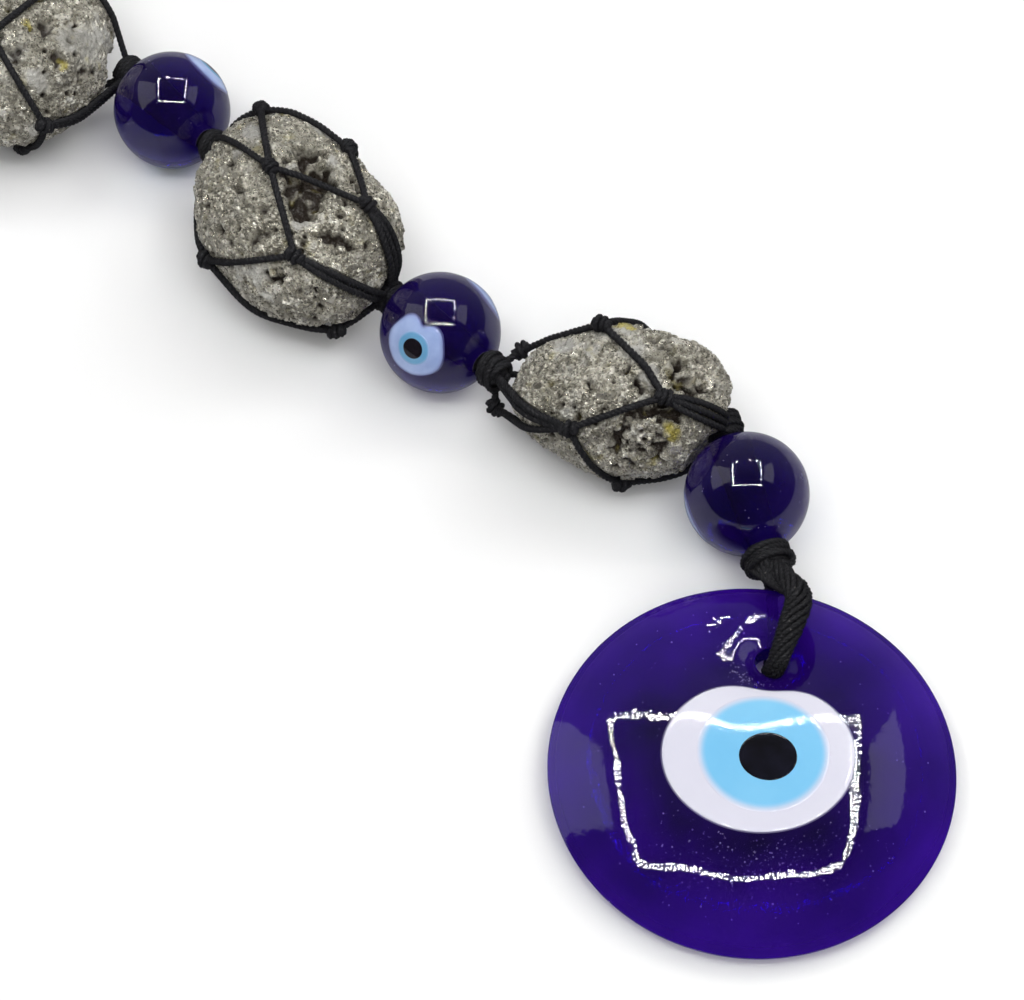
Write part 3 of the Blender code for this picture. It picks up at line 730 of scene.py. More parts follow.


# hollows (x, y, radius, depth), quartz (x, y, radius) and stains (x, y, radius) on the upper sides,
# in layout millimetres; coarse is where the crystals are large; dark (x, y, radius) are patches of painted
# shade
RELIEF = {
    1: {
        "hollows": (
            (-81.4, 86.4, 1.9, 1.5), (-79.2, 79.8, 1.7, 1.6), (-77.0, 74.0, 1.6, 1.3),
            (-72.9, 87.5, 1.1, 1.5), (-74.6, 82.0, 0.9, 1.3), (-70.4, 75.0, 1.2, 1.4),
            (-83.5, 73.5, 1.5, 1.5),
        ),
        "quartz": ((-74.0, 79.0, 3.6), (-69.8, 82.5, 2.2), (-80.0, 70.0, 1.8),),
        "stains": ((-76.0, 73.4, 1.0), (-82.5, 79.6, 0.8),),
        "dark": ((-74.0, 72.5, 4.5),),
        "coarse": ((-74.5, 84.5, 4.5),),
    },
    2: {
        "hollows": (
            (-34.6, 51.6, 1.5, 1.7), (-33.2, 49.6, 1.9, 2.6), (-30.6, 48.5, 1.9, 2.8),
            (-28.9, 47.2, 1.6, 2.3), (-34.7, 46.3, 1.6, 2.6), (-34.9, 43.4, 1.5, 2.6),
            (-33.8, 41.5, 1.6, 3.0), (-32.3, 46.0, 1.9, 2.2), (-32.6, 43.8, 1.4, 1.8),
            (-37.8, 50.0, 1.0, 1.3), (-37.2, 47.4, 1.1, 1.7), (-36.7, 44.9, 1.2, 1.9),
            (-36.2, 42.0, 1.1, 1.6), (-30.6, 36.5, 1.2, 1.9), (-28.6, 35.7, 1.2, 2.0),
            (-26.4, 35.4, 1.1, 1.7), (-38.5, 30.9, 1.1, 1.9), (-39.6, 32.0, 0.9, 1.3),
            (-47.8, 40.5, 0.9, 1.5), (-46.5, 51.9, 0.8, 1.5), (-46.0, 51.0, 0.7, 1.2),
            (-44.4, 45.4, 0.8, 1.1), (-43.7, 47.8, 0.7, 1.0), (-27.6, 42.8, 0.9, 1.2),
            (-31.9, 27.8, 1.0, 1.4), (-35.8, 65.1, 1.2, 1.2), (-31.4, 58.3, 1.0, 1.1),
            (-33.9, 52.6, 1.2, 1.5), (-32.2, 52.2, 1.1, 1.4), (-40.9, 37.3, 1.0, 1.1),
            (-42.0, 36.4, 0.9, 1.2), (-24.8, 46.6, 1.1, 1.4),
        ),
        "quartz": (
            (-43.4, 57.9, 2.4), (-31.6, 60.4, 2.3), (-34.1, 38.9, 1.3), (-29.6, 51.4, 1.0),
            (-44.8, 53.2, 1.2),
        ),
        "stains": (),
        "dark": ((-31.5, 46.5, 4.6), (-28.6, 36.0, 2.4), (-34.0, 33.5, 3.0),),
        "coarse": ((-29.5, 41.5, 4.6), (-33.5, 31.5, 5.0),),
    },
    3: {
        "hollows": (
            (21.3, 21.0, 1.3, 1.5), (22.8, 18.0, 1.2, 1.7), (24.4, 15.1, 1.2, 1.9),
            (26.0, 12.2, 1.4, 2.2), (27.8, 9.2, 1.8, 2.4), (30.2, 8.6, 1.3, 1.8), (28.3, 5.9, 1.6, 2.4),
            (25.8, 4.9, 1.7, 2.4), (23.3, 4.6, 1.6, 2.3), (20.8, 3.9, 1.4, 2.0), (18.2, 3.6, 1.3, 1.6),
            (14.6, 3.6, 1.1, 1.2), (10.4, 4.4, 1.0, 1.0), (22.5, 12.0, 0.7, 1.3), (18.7, 10.6, 0.9, 1.6),
            (8.5, 16.8, 0.8, 1.3), (14.3, 12.2, 0.6, 1.0), (20.4, 7.6, 0.9, 1.5), (22.8, 7.0, 0.9, 1.6),
            (12.3, 8.0, 0.9, 1.3), (30.2, 14.1, 1.2, 1.4), (17.1, 0.9, 1.3, 1.8), (20.2, -1.9, 1.2, 1.6),
            (23.4, -0.6, 1.4, 1.9), (14.2, 21.6, 1.0, 1.2), (16.1, 14.6, 0.6, 0.9),
        ),
        "quartz": (
            (15.0, 18.0, 2.3), (8.5, 15.9, 1.9), (19.3, 13.8, 2.0), (22.0, 9.0, 1.4), (18.2, 18.4, 1.6),
            (12.6, 14.0, 1.2),
        ),
        "stains": ((17.7, 19.4, 1.2), (19.2, 19.0, 0.9), (25.4, 1.6, 1.2),),
        "dark": ((24.5, 3.0, 6.0), (18.0, 1.5, 4.6), (29.5, 9.0, 3.4),),
        "coarse": ((15.5, 14.5, 6.5), (20.5, 11.0, 5.0), (18.5, 1.5, 4.0),),
    },
}


def patch_field(points, above, patches):
    """How far each point is inside any of the (x, y, radius) patches, 0 to 1, on the upper side."""
    field = np.zeros(len(points))
    for x, y, radius in patches:
        far = np.hypot(points[:, 0] - x, points[:, 1] - y) / radius
        field = np.maximum(field, np.exp(-far ** 3.0))
    return field * above


# crystals: amount, smallest and largest half size, how far sunk, and whether kept to the coarse places
CRYSTALS = ((420, 0.70, 1.25, 0.72, True), (700, 0.42, 0.75, 0.55, True), (500, 0.38, 0.62, 0.62, False),
            (9000, 0.17, 0.34, 0.30, False))
PITS = 150
DEEPEST, HIGHEST = -3.4, 0.75                # limits of the crust over the skin
CORD_BED, CORD_BED_SQUARE = 0.85, 0.72       # half width of the groove a cord lies in
BEAD_ROOM = 1.1                              # kept between the crust and a bead


def crystal_crust(base, number, routes, places):
    """Heights of a crust of cubic crystals over the skin, with hollows, what each place is made of,
    and patches of painted shade.
    """
    points, normals = base["points"], base["normals"]
    count = len(points)
    relief = RELIEF[number]
    layout = points + ORIGIN
    above = np.clip(normals[:, 2] * 3.0 + 0.4, 0.0, 1.0)
    warp = np.column_stack([fbm(points, 2.4, number + 7.3, 3), fbm(points, 2.4, number + 8.9, 3)])
    layout[:, :2] += warp * 1.1
    coarse = patch_field(layout, above, relief["coarse"])
    below = 0.8 * np.clip(fbm(points, 11.0, number + 4.1, 2) * 2.2 - 0.35, 0.0, 1.0) * (1 - above)
    coarse = np.maximum(coarse, below)
    coarse = 0.28 + 0.72 * coarse
    quartz = np.clip(patch_field(layout, above, relief["quartz"]) * 1.6 + 0.7 * warp[:, 0] - 0.15, 0.0, 1.0)
    stain = np.clip(patch_field(layout, above, relief["stains"]) * 1.5 + 0.8 * warp[:, 1] - 0.35, 0.0, 1.0)
    tree = kdtree.KDTree(count)
    for k, p in enumerate(points):
        tree.insert(p, k)
    tree.balance()
    height = 0.22 + 0.45 * np.clip(fbm(points, 7.0, number + 0.3, 3), -1.0, 0.5)
    for x, y, radius, depth in relief["hollows"]:
        far = np.hypot(layout[:, 0] - x, layout[:, 1] - y) / radius
        height -= np.exp(-far ** 2.6) * depth * above
    hidden = 1.0 - above
    height -= 1.3 * hidden * np.clip(-fbm(points, 5.0, number + 2.2, 3) * 2.6 - 0.5, 0.0, 1.0)
    rough = fbm(points, 0.9, number + 0.7, 3)
    lumps = fbm(points, 2.0, number + 3.3, 2)
    height += 0.13 * rough + (0.10 + 0.22 * coarse) * lumps
    tone = np.clip(0.42 + 0.30 * rough, 0.0, 1.0)
    floor_height = height.copy()
    for amount, small, large, sunk, kept in CRYSTALS:
        for k in rng.integers(0, count, amount):
            if kept and coarse[k] < rng.uniform(0.15, 0.8):
                continue
            half = rng.uniform(small, large)
            shape = half * rng.uniform(0.7, 1.15, 3)
            basis = np.array(Quaternion(Vector(rng.normal(0, 1, 3)).normalized(),
                                        rng.uniform(0, math.pi)).to_matrix())
            centre = points[k] + normals[k] * (floor_height[k] - sunk * half)
            near = [i for _, i, _ in tree.find_range(Vector(centre), half * 2.1)]
            if not near:
                continue
            near = np.array(near)
            o = (points[near] - centre) @ basis
            d = normals[near] @ basis
            d = np.where(np.abs(d) < 1e-6, 1e-6, d)
            leave = ((shape * np.sign(d) - o) / d).min(axis=1)
            enter = ((-shape * np.sign(d) - o) / d).max(axis=1)
            better = (enter < leave) & (leave > height[near])
            height[near[better]] = leave[better]
            tone[near[better]] = min(1.0, rng.beta(1.5, 1.7) + 0.15 * coarse[k])
    for k in rng.integers(0, count, PITS):
        radius = rng.uniform(0.25, 0.7)
        deep = rng.uniform(0.5, 1.3)
        for _, i, far in tree.find_range(Vector(points[k]), radius * 1.7):
            height[i] -= deep * math.exp(-(far / radius) ** 4)
    smooth = averaged(height, base["edges"], 3)
    height = height + (smooth - height) * (0.75 * quartz)
    height = np.clip(height, DEEPEST, HIGHEST)
    for line in routes.values():
        for p in route(line, 0.5):
            for _, i, far in tree.find_range(Vector(p), 1.5):
                away = points[i] - p
                out = normals[i].dot(-away)
                beside = math.sqrt(max(0.0, far * far - out * out))
                if beside < CORD_BED:
                    limit = out - math.sqrt(max(0.0, CORD_BED_SQUARE - beside * beside)) + 0.12
                    height[i] = min(height[i], limit)
    for p in places.values():
        for _, i, _ in tree.find_range(Vector(p), 2.2):
            height[i] = min(height[i], 0.1)
    for bead in (number - 1, number):
        if bead in BEADS:
            away = points + normals * height[:, None] - bead_centre(bead)
            near = BEAD_RADIUS + BEAD_ROOM - np.linalg.norm(away, axis=1)
            height = height - np.clip(near, 0.0, 2.0)
    # patches of painted shade, which darken the crust there
    dark = patch_field(layout, above, relief["dark"])
    return height, {"tone": tone, "quartz": quartz, "stain": stain, "dark": dark}


def build_stone(number):
    base = lump_base(number)
    places, routes = net_layout(number, base)
    height, fields = crystal_crust(base, number, routes, places)
    points = base["points"] + base["normals"] * height[:, None]
    lump = mesh_object(f"pyrite_lump_{number}_crust", points, base["quads"].tolist(), pyrite, smooth=False)
    near = averaged(height, base["edges"], 2)
    around = averaged(height, base["edges"], 40)
    # painted shade: darker where the crust lies below the crust around it, on low crust and in the dark
    # patches
    fields["rise_and_painted_shade"] = np.clip(0.60 + 0.95 * (near - around) + 0.16 * near - 0.3 * fields.pop("dark"), 0.0, 1.0)
    for name, values in fields.items():
        point_values(lump, name, values)
    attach(lump, f"stone_{number}")
    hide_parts(f"pyrite_lump_{number}")
    build_net(number, base, places, routes)


END_KNOT = ((3.0, 4.7, 5.4, 0.45), (2.5, 5.2, 4.0, -0.8))    # radius, length, turns and lean of its windings


def build_net(number, base, places, routes):
    shells = Shells()
    leaving = {tag: [] for tag in places}
    for pair, line in routes.items():
        start, end = pair.split("-")[:2]
        leaving[start].append(unit(line[1] - line[0]))
        leaving[end].append(unit(line[-2] - line[-1]))
        tube(shells, route(line, 0.34), CORD_RADIUS * rng.uniform(0.95, 1.08), start_turn=rng.uniform(0, 6))
    for tag, spot in places.items():
        if tag in ("top", "end"):
            bead = number - 1 if tag == "top" else number
            if bead in BEADS:
                axis = unit(BEADS[bead]["bore"])
            else:
                axis = unit(places["top"] - base["middle"])
            for radius, length, turns, lean in END_KNOT:
                barrel_knot(shells, spot, axis, radius, length, 0.5, turns, phase=rng.uniform(0, 6),
                            lean=lean, bead=bead)
        else:
            axis = knot_axis(leaving[tag])
            out = unit(spot - base["middle"])
            barrel_knot(shells, spot + out * 0.1, axis, 1.5, 3.6, 0.5, 2.6, phase=rng.uniform(0, 6),
                        lean=0.18)
    net = shells.build(f"net_pouch_{number}_cords", cord_black)
    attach(net, f"stone_{number}")
    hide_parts(f"net_pouch_{number}")


for stone in STONES:
    build_stone(stone)


# ---------------------------------------------------------------- beads
def axes_for(direction):
    z = unit(direction)
    x = unit(np.cross(z, (0.0, 0.0, 1.0) if abs(z[2]) < 0.9 else (1.0, 0.0, 0.0)))
    return np.array((x, np.cross(z, x), z))


# a bead eye's layers: half width in degrees, how proud, and how uneven
EYE_LAYERS = (("white", 31.5, 0.03, 0.08), ("iris", 17.8, 0.05, 0.03), ("pupil", 10.6, 0.07, 0.02))
EYE_DEPTH = 0.9
EYE_NOTCH = (268.0, 0.30, 17.0)              # where the second bead's eye is nicked, how deep and how wide


def bubble_cloud(name, spots, sizes, body):
    """Small trapped bubbles as tiny many-sided shells."""
    g = (1 + math.sqrt(5)) / 2
    corners = np.array([(-1, g, 0), (1, g, 0), (-1, -g, 0), (1, -g, 0), (0, -1, g), (0, 1, g), (0, -1, -g),
                        (0, 1, -g), (g, 0, -1), (g, 0, 1), (-g, 0, -1), (-g, 0, 1)]) / math.hypot(1, g)
    sides = [(0, 11, 5), (0, 5, 1), (0, 1, 7), (0, 7, 10), (0, 10, 11), (1, 5, 9), (5, 11, 4), (11, 10, 2),
             (10, 7, 6), (7, 1, 8), (3, 9, 4), (3, 4, 2), (3, 2, 6), (3, 6, 8), (3, 8, 9), (4, 9, 5),
             (2, 4, 11), (6, 2, 10), (8, 6, 7), (9, 8, 1)]
    shells = Shells()
    for spot, size in zip(spots, sizes):
        shells.add(spot + corners * size, sides)
    cloud = shells.build(name, bubble_white)
    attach(cloud, body)


def build_bead(number):
    spec = BEADS[number]
    centre = bead_centre(number)
    axes = axes_for(spec["bore"])
    mouth = math.asin(BORE_RADIUS / BEAD_RADIUS)
    outer = [(BEAD_RADIUS * math.sin(a), BEAD_RADIUS * math.cos(a))
             for a in np.linspace(mouth + 0.03, math.pi - mouth - 0.03, 72)]
    top = outer[0][1]
    lip = [(BORE_RADIUS + 0.06, -top - 0.02), (BORE_RADIUS, -top + 0.25)]
    wall = [(BORE_RADIUS, z) for z in np.linspace(-top + 0.6, top - 0.6, 12)]
    profile = np.array(outer + lip + wall + [(BORE_RADIUS, top - 0.25), (BORE_RADIUS + 0.06, top + 0.02)])
    columns = 128
    angle = turns_of(columns)
    ring = np.stack([profile[:, 0, None] * np.cos(angle), profile[:, 0, None] * np.sin(angle),
                     np.broadcast_to(profile[:, 1, None], (len(profile), columns))], axis=-1).reshape(-1, 3)
    bend = fbm(ring, 9.0, 20 + number, 2)
    ring = ring * (1.0 + 0.004 * bend)[:, None]
    glass = mesh_object(f"bead_{number}_ball", centre + ring @ axes,
                        grid_faces(len(profile), columns, True), bead_cobalt)
    glass.data.materials.append(bore_glass)
    for face in glass.data.polygons:
        if min(face.vertices) >= len(outer) * columns:
            face.material_index = 1
    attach(glass, f"bead_{number}")
    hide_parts(f"bead_{number}_glass")
    ways = rng.normal(0.0, 1.0, (46, 3))
    ways /= np.linalg.norm(ways, axis=1)[:, None]
    clear_of_eyes = [w for w in ways if abs(w @ unit(spec["bore"])) < 0.9
                     and all(w @ unit(e) < 0.80 for e in spec["eyes"])]
    spots = [centre + w * rng.uniform(9.3, 9.75) for w in clear_of_eyes]
    bubble_cloud(f"bead_{number}_bubbles", spots, rng.uniform(0.05, 0.13, len(spots)), f"bead_{number}")
    for tag, direction in zip("ab", spec["eyes"]):
        for layer, degrees, proud, wobble in EYE_LAYERS:
            notch = EYE_NOTCH if (number, tag, layer) == (2, "a", "white") else None
            cap = eye_cap(f"bead_{number}_eye_{tag}_{layer}_glass", centre, direction, degrees, proud, wobble,
                          number * 7 + ord(tag), finishes[layer], notch)
            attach(cap, f"bead_{number}")
            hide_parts(f"bead_{number}_eye_{tag}_{layer}")


def eye_cap(name, centre, direction, degrees, proud, wobble, seed, finish, notch=None):
    """A thin round patch of opaque glass on the ball, with an uneven outline."""
    columns, rings = 72, 14
    spots = [Vector((math.cos(a) * 1.3 + seed, math.sin(a) * 1.3, 0)) for a in turns_of(columns)]
    edge = np.array([degrees * (1 + wobble * (noise.noise(spot))) for spot in spots])
    if notch is not None:
        at, deep, wide = notch
        away = (np.arange(columns) * 360.0 / columns - at + 180) % 360 - 180
        nick = deep * np.exp(-np.abs(away / wide) ** 1.6)
        edge = edge * (1 + 0.10 * np.exp(-(away / (3.4 * wide)) ** 2) - nick)
    axes = axes_for(direction)
    verts, reach = [], []
    for side in (1, -1):
        shares = np.linspace(1.0, 1.0 / rings, rings)[::-side]
        for s in (shares if side == 1 else shares):
            t = np.radians(edge * s)
            depth = proud if side == 1 else -EYE_DEPTH
            dip = 0.25 * max(0.0, (s - 0.93) / 0.07) ** 2
            r = BEAD_RADIUS + depth - (dip if side == 1 else -0.3 * dip)
            a = turns_of(columns)
            verts.append(np.stack([r * np.sin(t) * np.cos(a), r * np.sin(t) * np.sin(a), r * np.cos(t)],
                                  axis=-1))
            reach.append(np.full(columns, s))
    verts = np.vstack(verts + [(0, 0, BEAD_RADIUS + proud), (0, 0, BEAD_RADIUS - EYE_DEPTH)])
    cap = mesh_object(name, centre + verts @ axes, capped_faces(2 * rings, columns), finish)
    point_values(cap, "reach", np.concatenate(reach + [np.zeros(2)]))
    return cap


finishes = {
    "white": make_opaque_glass("bead_eye_periwinkle", (0.42, 0.52, 0.78), (0.27, 0.36, 0.62), 160.0,
                               ring=(0.8, 1.0, (0.22, 0.26, 0.50))),
    "iris": make_opaque_glass("bead_eye_iris", (0.17, 0.38, 0.58), (0.12, 0.31, 0.52), 160.0,
                              ring=(0.78, 1.0, (0.35, 0.45, 0.71))),
    "pupil": make_opaque_glass("bead_eye_pupil", (0.012, 0.008, 0.012), (0.004, 0.004, 0.006), 300.0),
    "disc": make_opaque_glass("pendant_white_glass", (0.65, 0.645, 0.73), (0.61, 0.605, 0.70), 60.0),
    "ring": make_opaque_glass("pendant_iris_glass", (0.22, 0.53, 0.77), (0.17, 0.47, 0.73), 60.0,
                              ring=(0.84, 1.0, (0.63, 0.62, 0.72))),
    "dot": make_opaque_glass("pendant_pupil_glass", (0.006, 0.006, 0.012), (0.003, 0.003, 0.005), 300.0,
                             coat=0.0),
}
for bead in BEADS:
    build_bead(bead)

for number in BEADS:
    node = frame["nodes"][f"bead_{number}_core_cord"]
    node.data.materials.clear()
    node.data.materials.append(cord_black)

# ---------------------------------------------------------------- pendant
PENDANT_RADIUS = 31.3
PENDANT_OVAL = 0.978
PENDANT_MID_HEIGHT = 3.4
PENDANT_DOME = 5.6
PENDANT_FLAT_RADIUS = 24.5
PENDANT_TOP = (3.0, -0.5)                    # the highest place of the face
PENDANT_PLACE = np.array((56.9, -63.25, 1.418))
PENDANT_TILT = math.radians(3.2)
HOLE_PLACE = np.array((3.6, 17.2))
HOLE_RADIUS = 2.6
EYE_PLACE = np.array((0.7, 0.1))
DIMPLE_PLACE = np.array((0.6, 19.3))
DIMPLE_HALF = (10.6, 8.2)
DIMPLE_DEPTH = 0.9
PENDANT_BUBBLES = 520
DIMPLE_FLAWS = 90
# slope of the broad swell under the eye, up the face: (place in millimetres, slope)
SWELL_SLOPES = ((-24.0, 0.0), (-19.0, 0.015), (-14.0, 0.045), (-9.0, 0.035), (-5.0, -0.005), (0.0, -0.07),
                (4.0, -0.13), (10.0, -0.17), (14.0, -0.02), (18.0, 0.07), (25.0, 0.10), (31.0, 0.0))
SWELL_LINE = np.linspace(-33.0, 33.0, 661)
SWELL_HEIGHT = np.cumsum(np.interp(SWELL_LINE, *zip(*SWELL_SLOPES))) * 0.1
SWELL_MIDDLE, SWELL_WIDTH = 0.5, 19.0


def pendant_world(local):
    c, s = math.cos(PENDANT_TILT), math.sin(PENDANT_TILT)
    local = np.asarray(local, float)
    return PENDANT_PLACE + np.column_stack([local[:, 0], local[:, 1] * c - local[:, 2] * s,
                                            local[:, 1] * s + local[:, 2] * c])


def waves(x, y):
    """Slow unevenness of the hand-poured face, millimetres."""
    return 0.05 * np.sin(x * 0.21 + 0.8) * np.cos(y * 0.17 - 0.4) + 0.02 * np.sin(x * 0.43 - y * 0.31 + 2.0)


def face_height(x, y):
    """Height of the glass face above its flat back."""
    dx, dy = x - PENDANT_TOP[0], (y - PENDANT_TOP[1]) / PENDANT_OVAL
    top_x, top_y = PENDANT_TOP[0], PENDANT_TOP[1] / PENDANT_OVAL
    square = np.maximum(dx * dx + dy * dy, 1e-9)
    b = top_x * dx + top_y * dy
    c = top_x ** 2 + top_y ** 2 - PENDANT_RADIUS ** 2
    share = np.minimum(1.0, square / (np.sqrt(b * b - square * c) - b))
    z = PENDANT_MID_HEIGHT + PENDANT_DOME * np.maximum(0.0, 1 - share ** 3.46) ** 1.1
    z = z + waves(x, y) * (1 - share ** 6)
    far = np.hypot((x - DIMPLE_PLACE[0]) / DIMPLE_HALF[0], (y - DIMPLE_PLACE[1]) / DIMPLE_HALF[1])
    z = z - DIMPLE_DEPTH * np.exp(-far ** 4.6) * (1 - share ** 8)
    swell = np.interp(y, SWELL_LINE, SWELL_HEIGHT) * np.exp(-((x - SWELL_MIDDLE) / SWELL_WIDTH) ** 2)
    z = z + swell * (1 - share ** 8)
    inner = np.hypot(x - HOLE_PLACE[0], y - HOLE_PLACE[1])
    return z - 1.3 * np.exp(-(inner / 4.6) ** 3)


def build_pendant_glass():
    columns = 288
    angle = turns_of(columns)
    start = HOLE_PLACE[:, None] + HOLE_RADIUS * np.array((np.cos(angle), np.sin(angle)))
    ray = np.array((np.cos(angle), np.sin(angle)))
    # distance from the hole's middle to the oval outline along each ray
    a = ray[0] ** 2 + (ray[1] / PENDANT_OVAL) ** 2
    b = HOLE_PLACE[0] * ray[0] + HOLE_PLACE[1] * ray[1] / PENDANT_OVAL ** 2
    c = HOLE_PLACE[0] ** 2 + (HOLE_PLACE[1] / PENDANT_OVAL) ** 2 - PENDANT_RADIUS ** 2
    reach = (-b + np.sqrt(b * b - a * c)) / a
    rim = HOLE_PLACE[:, None] + ray * reach
    rows = []
    shares = np.sin(np.linspace(0.0, math.pi / 2, 90))
    for s in shares:
        x, y = start + (rim - start) * s
        rows.append((x, y, face_height(x, y)))
    rim_angle = np.arctan2(rim[1] / PENDANT_OVAL, rim[0])
    width = PENDANT_RADIUS - PENDANT_FLAT_RADIUS
    for t in np.linspace(math.pi / 2, 0.0, 22)[1:]:
        r = PENDANT_FLAT_RADIUS + width * math.sin(t)
        rows.append((r * np.cos(rim_angle), r * np.sin(rim_angle) * PENDANT_OVAL,
                     np.full(columns, PENDANT_MID_HEIGHT * (1 - math.cos(t)))))
    fx, fy = rows[-1][0], rows[-1][1]
    for s in np.linspace(0.0, 1.0, 24)[1:]:
        rows.append((fx + (start[0] - fx) * s, fy + (start[1] - fy) * s, np.zeros(columns)))
    top = face_height(*start)
    for s in np.linspace(0.0, 1.0, 12)[1:-1]:
        rows.append((start[0], start[1], top * s))
    verts = np.vstack([np.stack(r, axis=-1) for r in rows])
    glass = mesh_object("pendant_disc", pendant_world(verts), grid_faces(len(rows), columns, True),
                        pendant_cobalt)
    point_values(glass, "reach", np.hypot(verts[:, 0], verts[:, 1] / PENDANT_OVAL) / PENDANT_RADIUS)
    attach(glass, "pendant")
    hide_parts("pendant_glass")
    spots, sizes = [], []
    while len(spots) < PENDANT_BUBBLES:
        if rng.uniform() < 0.5:
            x, y = rng.normal(1.0, 8.0), rng.normal(-15.5, 3.4)
        else:
            x, y = rng.uniform(-PENDANT_RADIUS, PENDANT_RADIUS, 2)
        round_eye = math.hypot((x - EYE_PLACE[0]) / 15.6, (y - EYE_PLACE[1]) / 13.7)
        round_hole = math.hypot(*(np.array((x, y)) - HOLE_PLACE))
        if math.hypot(x, y / PENDANT_OVAL) > 27.5 or round_eye < 1 or round_hole < 5:
            continue
        surface = float(face_height(np.array(x), np.array(y)))
        spots.append((x, y, surface - rng.uniform(0.2, 1.0)))
        sizes.append(rng.choice((0.06, 0.09, 0.125, 0.17), p=(0.45, 0.3, 0.18, 0.07)))
    # fine white flaws pressed into the lower side of the dimple
    for _ in range(DIMPLE_FLAWS):
        angle, reach = rng.normal(math.radians(232), 0.42), rng.normal(4.9, 0.7)
        x, y = HOLE_PLACE + reach * np.array((math.cos(angle) * 1.25, math.sin(angle)))
        if math.hypot((x - EYE_PLACE[0]) / 15.4, (y - EYE_PLACE[1]) / 12.2) > 1:
            spots.append((x, y, float(face_height(np.array(x), np.array(y))) - 0.16))
            sizes.append(rng.uniform(0.05, 0.13))
    bubble_cloud("pendant_bubbles", pendant_world(spots), sizes, "pendant")


def eye_outline(kind, angle):
    """Distance from the eye's middle to a layer's edge, millimetres."""
    x, y = np.cos(angle), np.sin(angle)
    if kind == "white":
        oval = 1 / np.hypot(x / 14.9, y / 13.0)
        dent = 1.5 * np.exp(-((np.degrees(angle) - 80 + 180) % 360 - 180) ** 2 / 22.0 ** 2)
        return oval - dent
    if kind == "iris":
        return 1 / np.hypot(x / 10.3, y / 10.1)
    return 1 / np.hypot(x / 4.5, y / 4.1)


def build_pendant_layer(kind, finish, middle, proud, under, node):
    columns, rings = 144, 30
    angle = turns_of(columns)
    edge = eye_outline(kind, angle)
    shares = np.linspace(0.0, 1.0, rings + 1)[1:] ** 0.8
    rows, reach = [], []
    for s in shares:
        x = middle[0] + np.cos(angle) * edge * s
        y = middle[1] + np.sin(angle) * edge * s
        drop = 0.12 * max(0.0, (s - 0.96) / 0.04) ** 2
        rows.append((x, y, face_height(x, y) + proud - drop))
        reach.append(np.full(columns, s))
    for s, deep in ((0.985, 0.35), (0.96, 0.8), (0.9, 1.3), (0.8, under), (0.5, under), (0.2, under)):
        x = middle[0] + np.cos(angle) * edge * s
        y = middle[1] + np.sin(angle) * edge * s
        rows.append((x, y, face_height(x, y) - deep))
        reach.append(np.full(columns, s))
    mid = face_height(np.array([middle[0]]), np.array([middle[1]]))[0]
    verts = np.vstack([np.stack(r, axis=-1) for r in rows] + [(*middle, mid + proud), (*middle, mid - under)])
    piece = mesh_object(f"{node}_glass", pendant_world(verts), capped_faces(len(rows), columns), finish)
    point_values(piece, "reach", np.concatenate(reach + [np.zeros(2)]))
    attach(piece, "pendant")
    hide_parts(node)


build_pendant_glass()
build_pendant_layer("white", finishes["disc"], EYE_PLACE, 0.05, 2.0, "pendant_white")
build_pendant_layer("iris", finishes["ring"], EYE_PLACE + (0.7, 0.2), 0.09, 1.2, "pendant_iris")
build_pendant_layer("pupil", finishes["dot"], EYE_PLACE + (1.35, -0.65), 0.13, 0.8, "pendant_pupil")


def rope(shells, rows, strands, cord, pitch):
    """Several laid cords turning round a line of (x, y, z, radius) rows."""
    line = route(rows, 0.5)
    points, radii = line[:, :3], line[:, 3]
    _, a, b = frames_along(points)
    along = np.concatenate([[0.0], np.cumsum(np.linalg.norm(np.diff(points, axis=0), axis=1))])
    for k in range(strands):
        angle = k * math.tau / strands + along * math.tau / pitch
        offset = np.maximum(0.0, radii - cord)
        path = points + a * (offset * np.cos(angle))[:, None] + b * (offset * np.sin(angle))[:, None]
        tube(shells, path, cord, plies=3, pitch=2.2, depth=0.16)


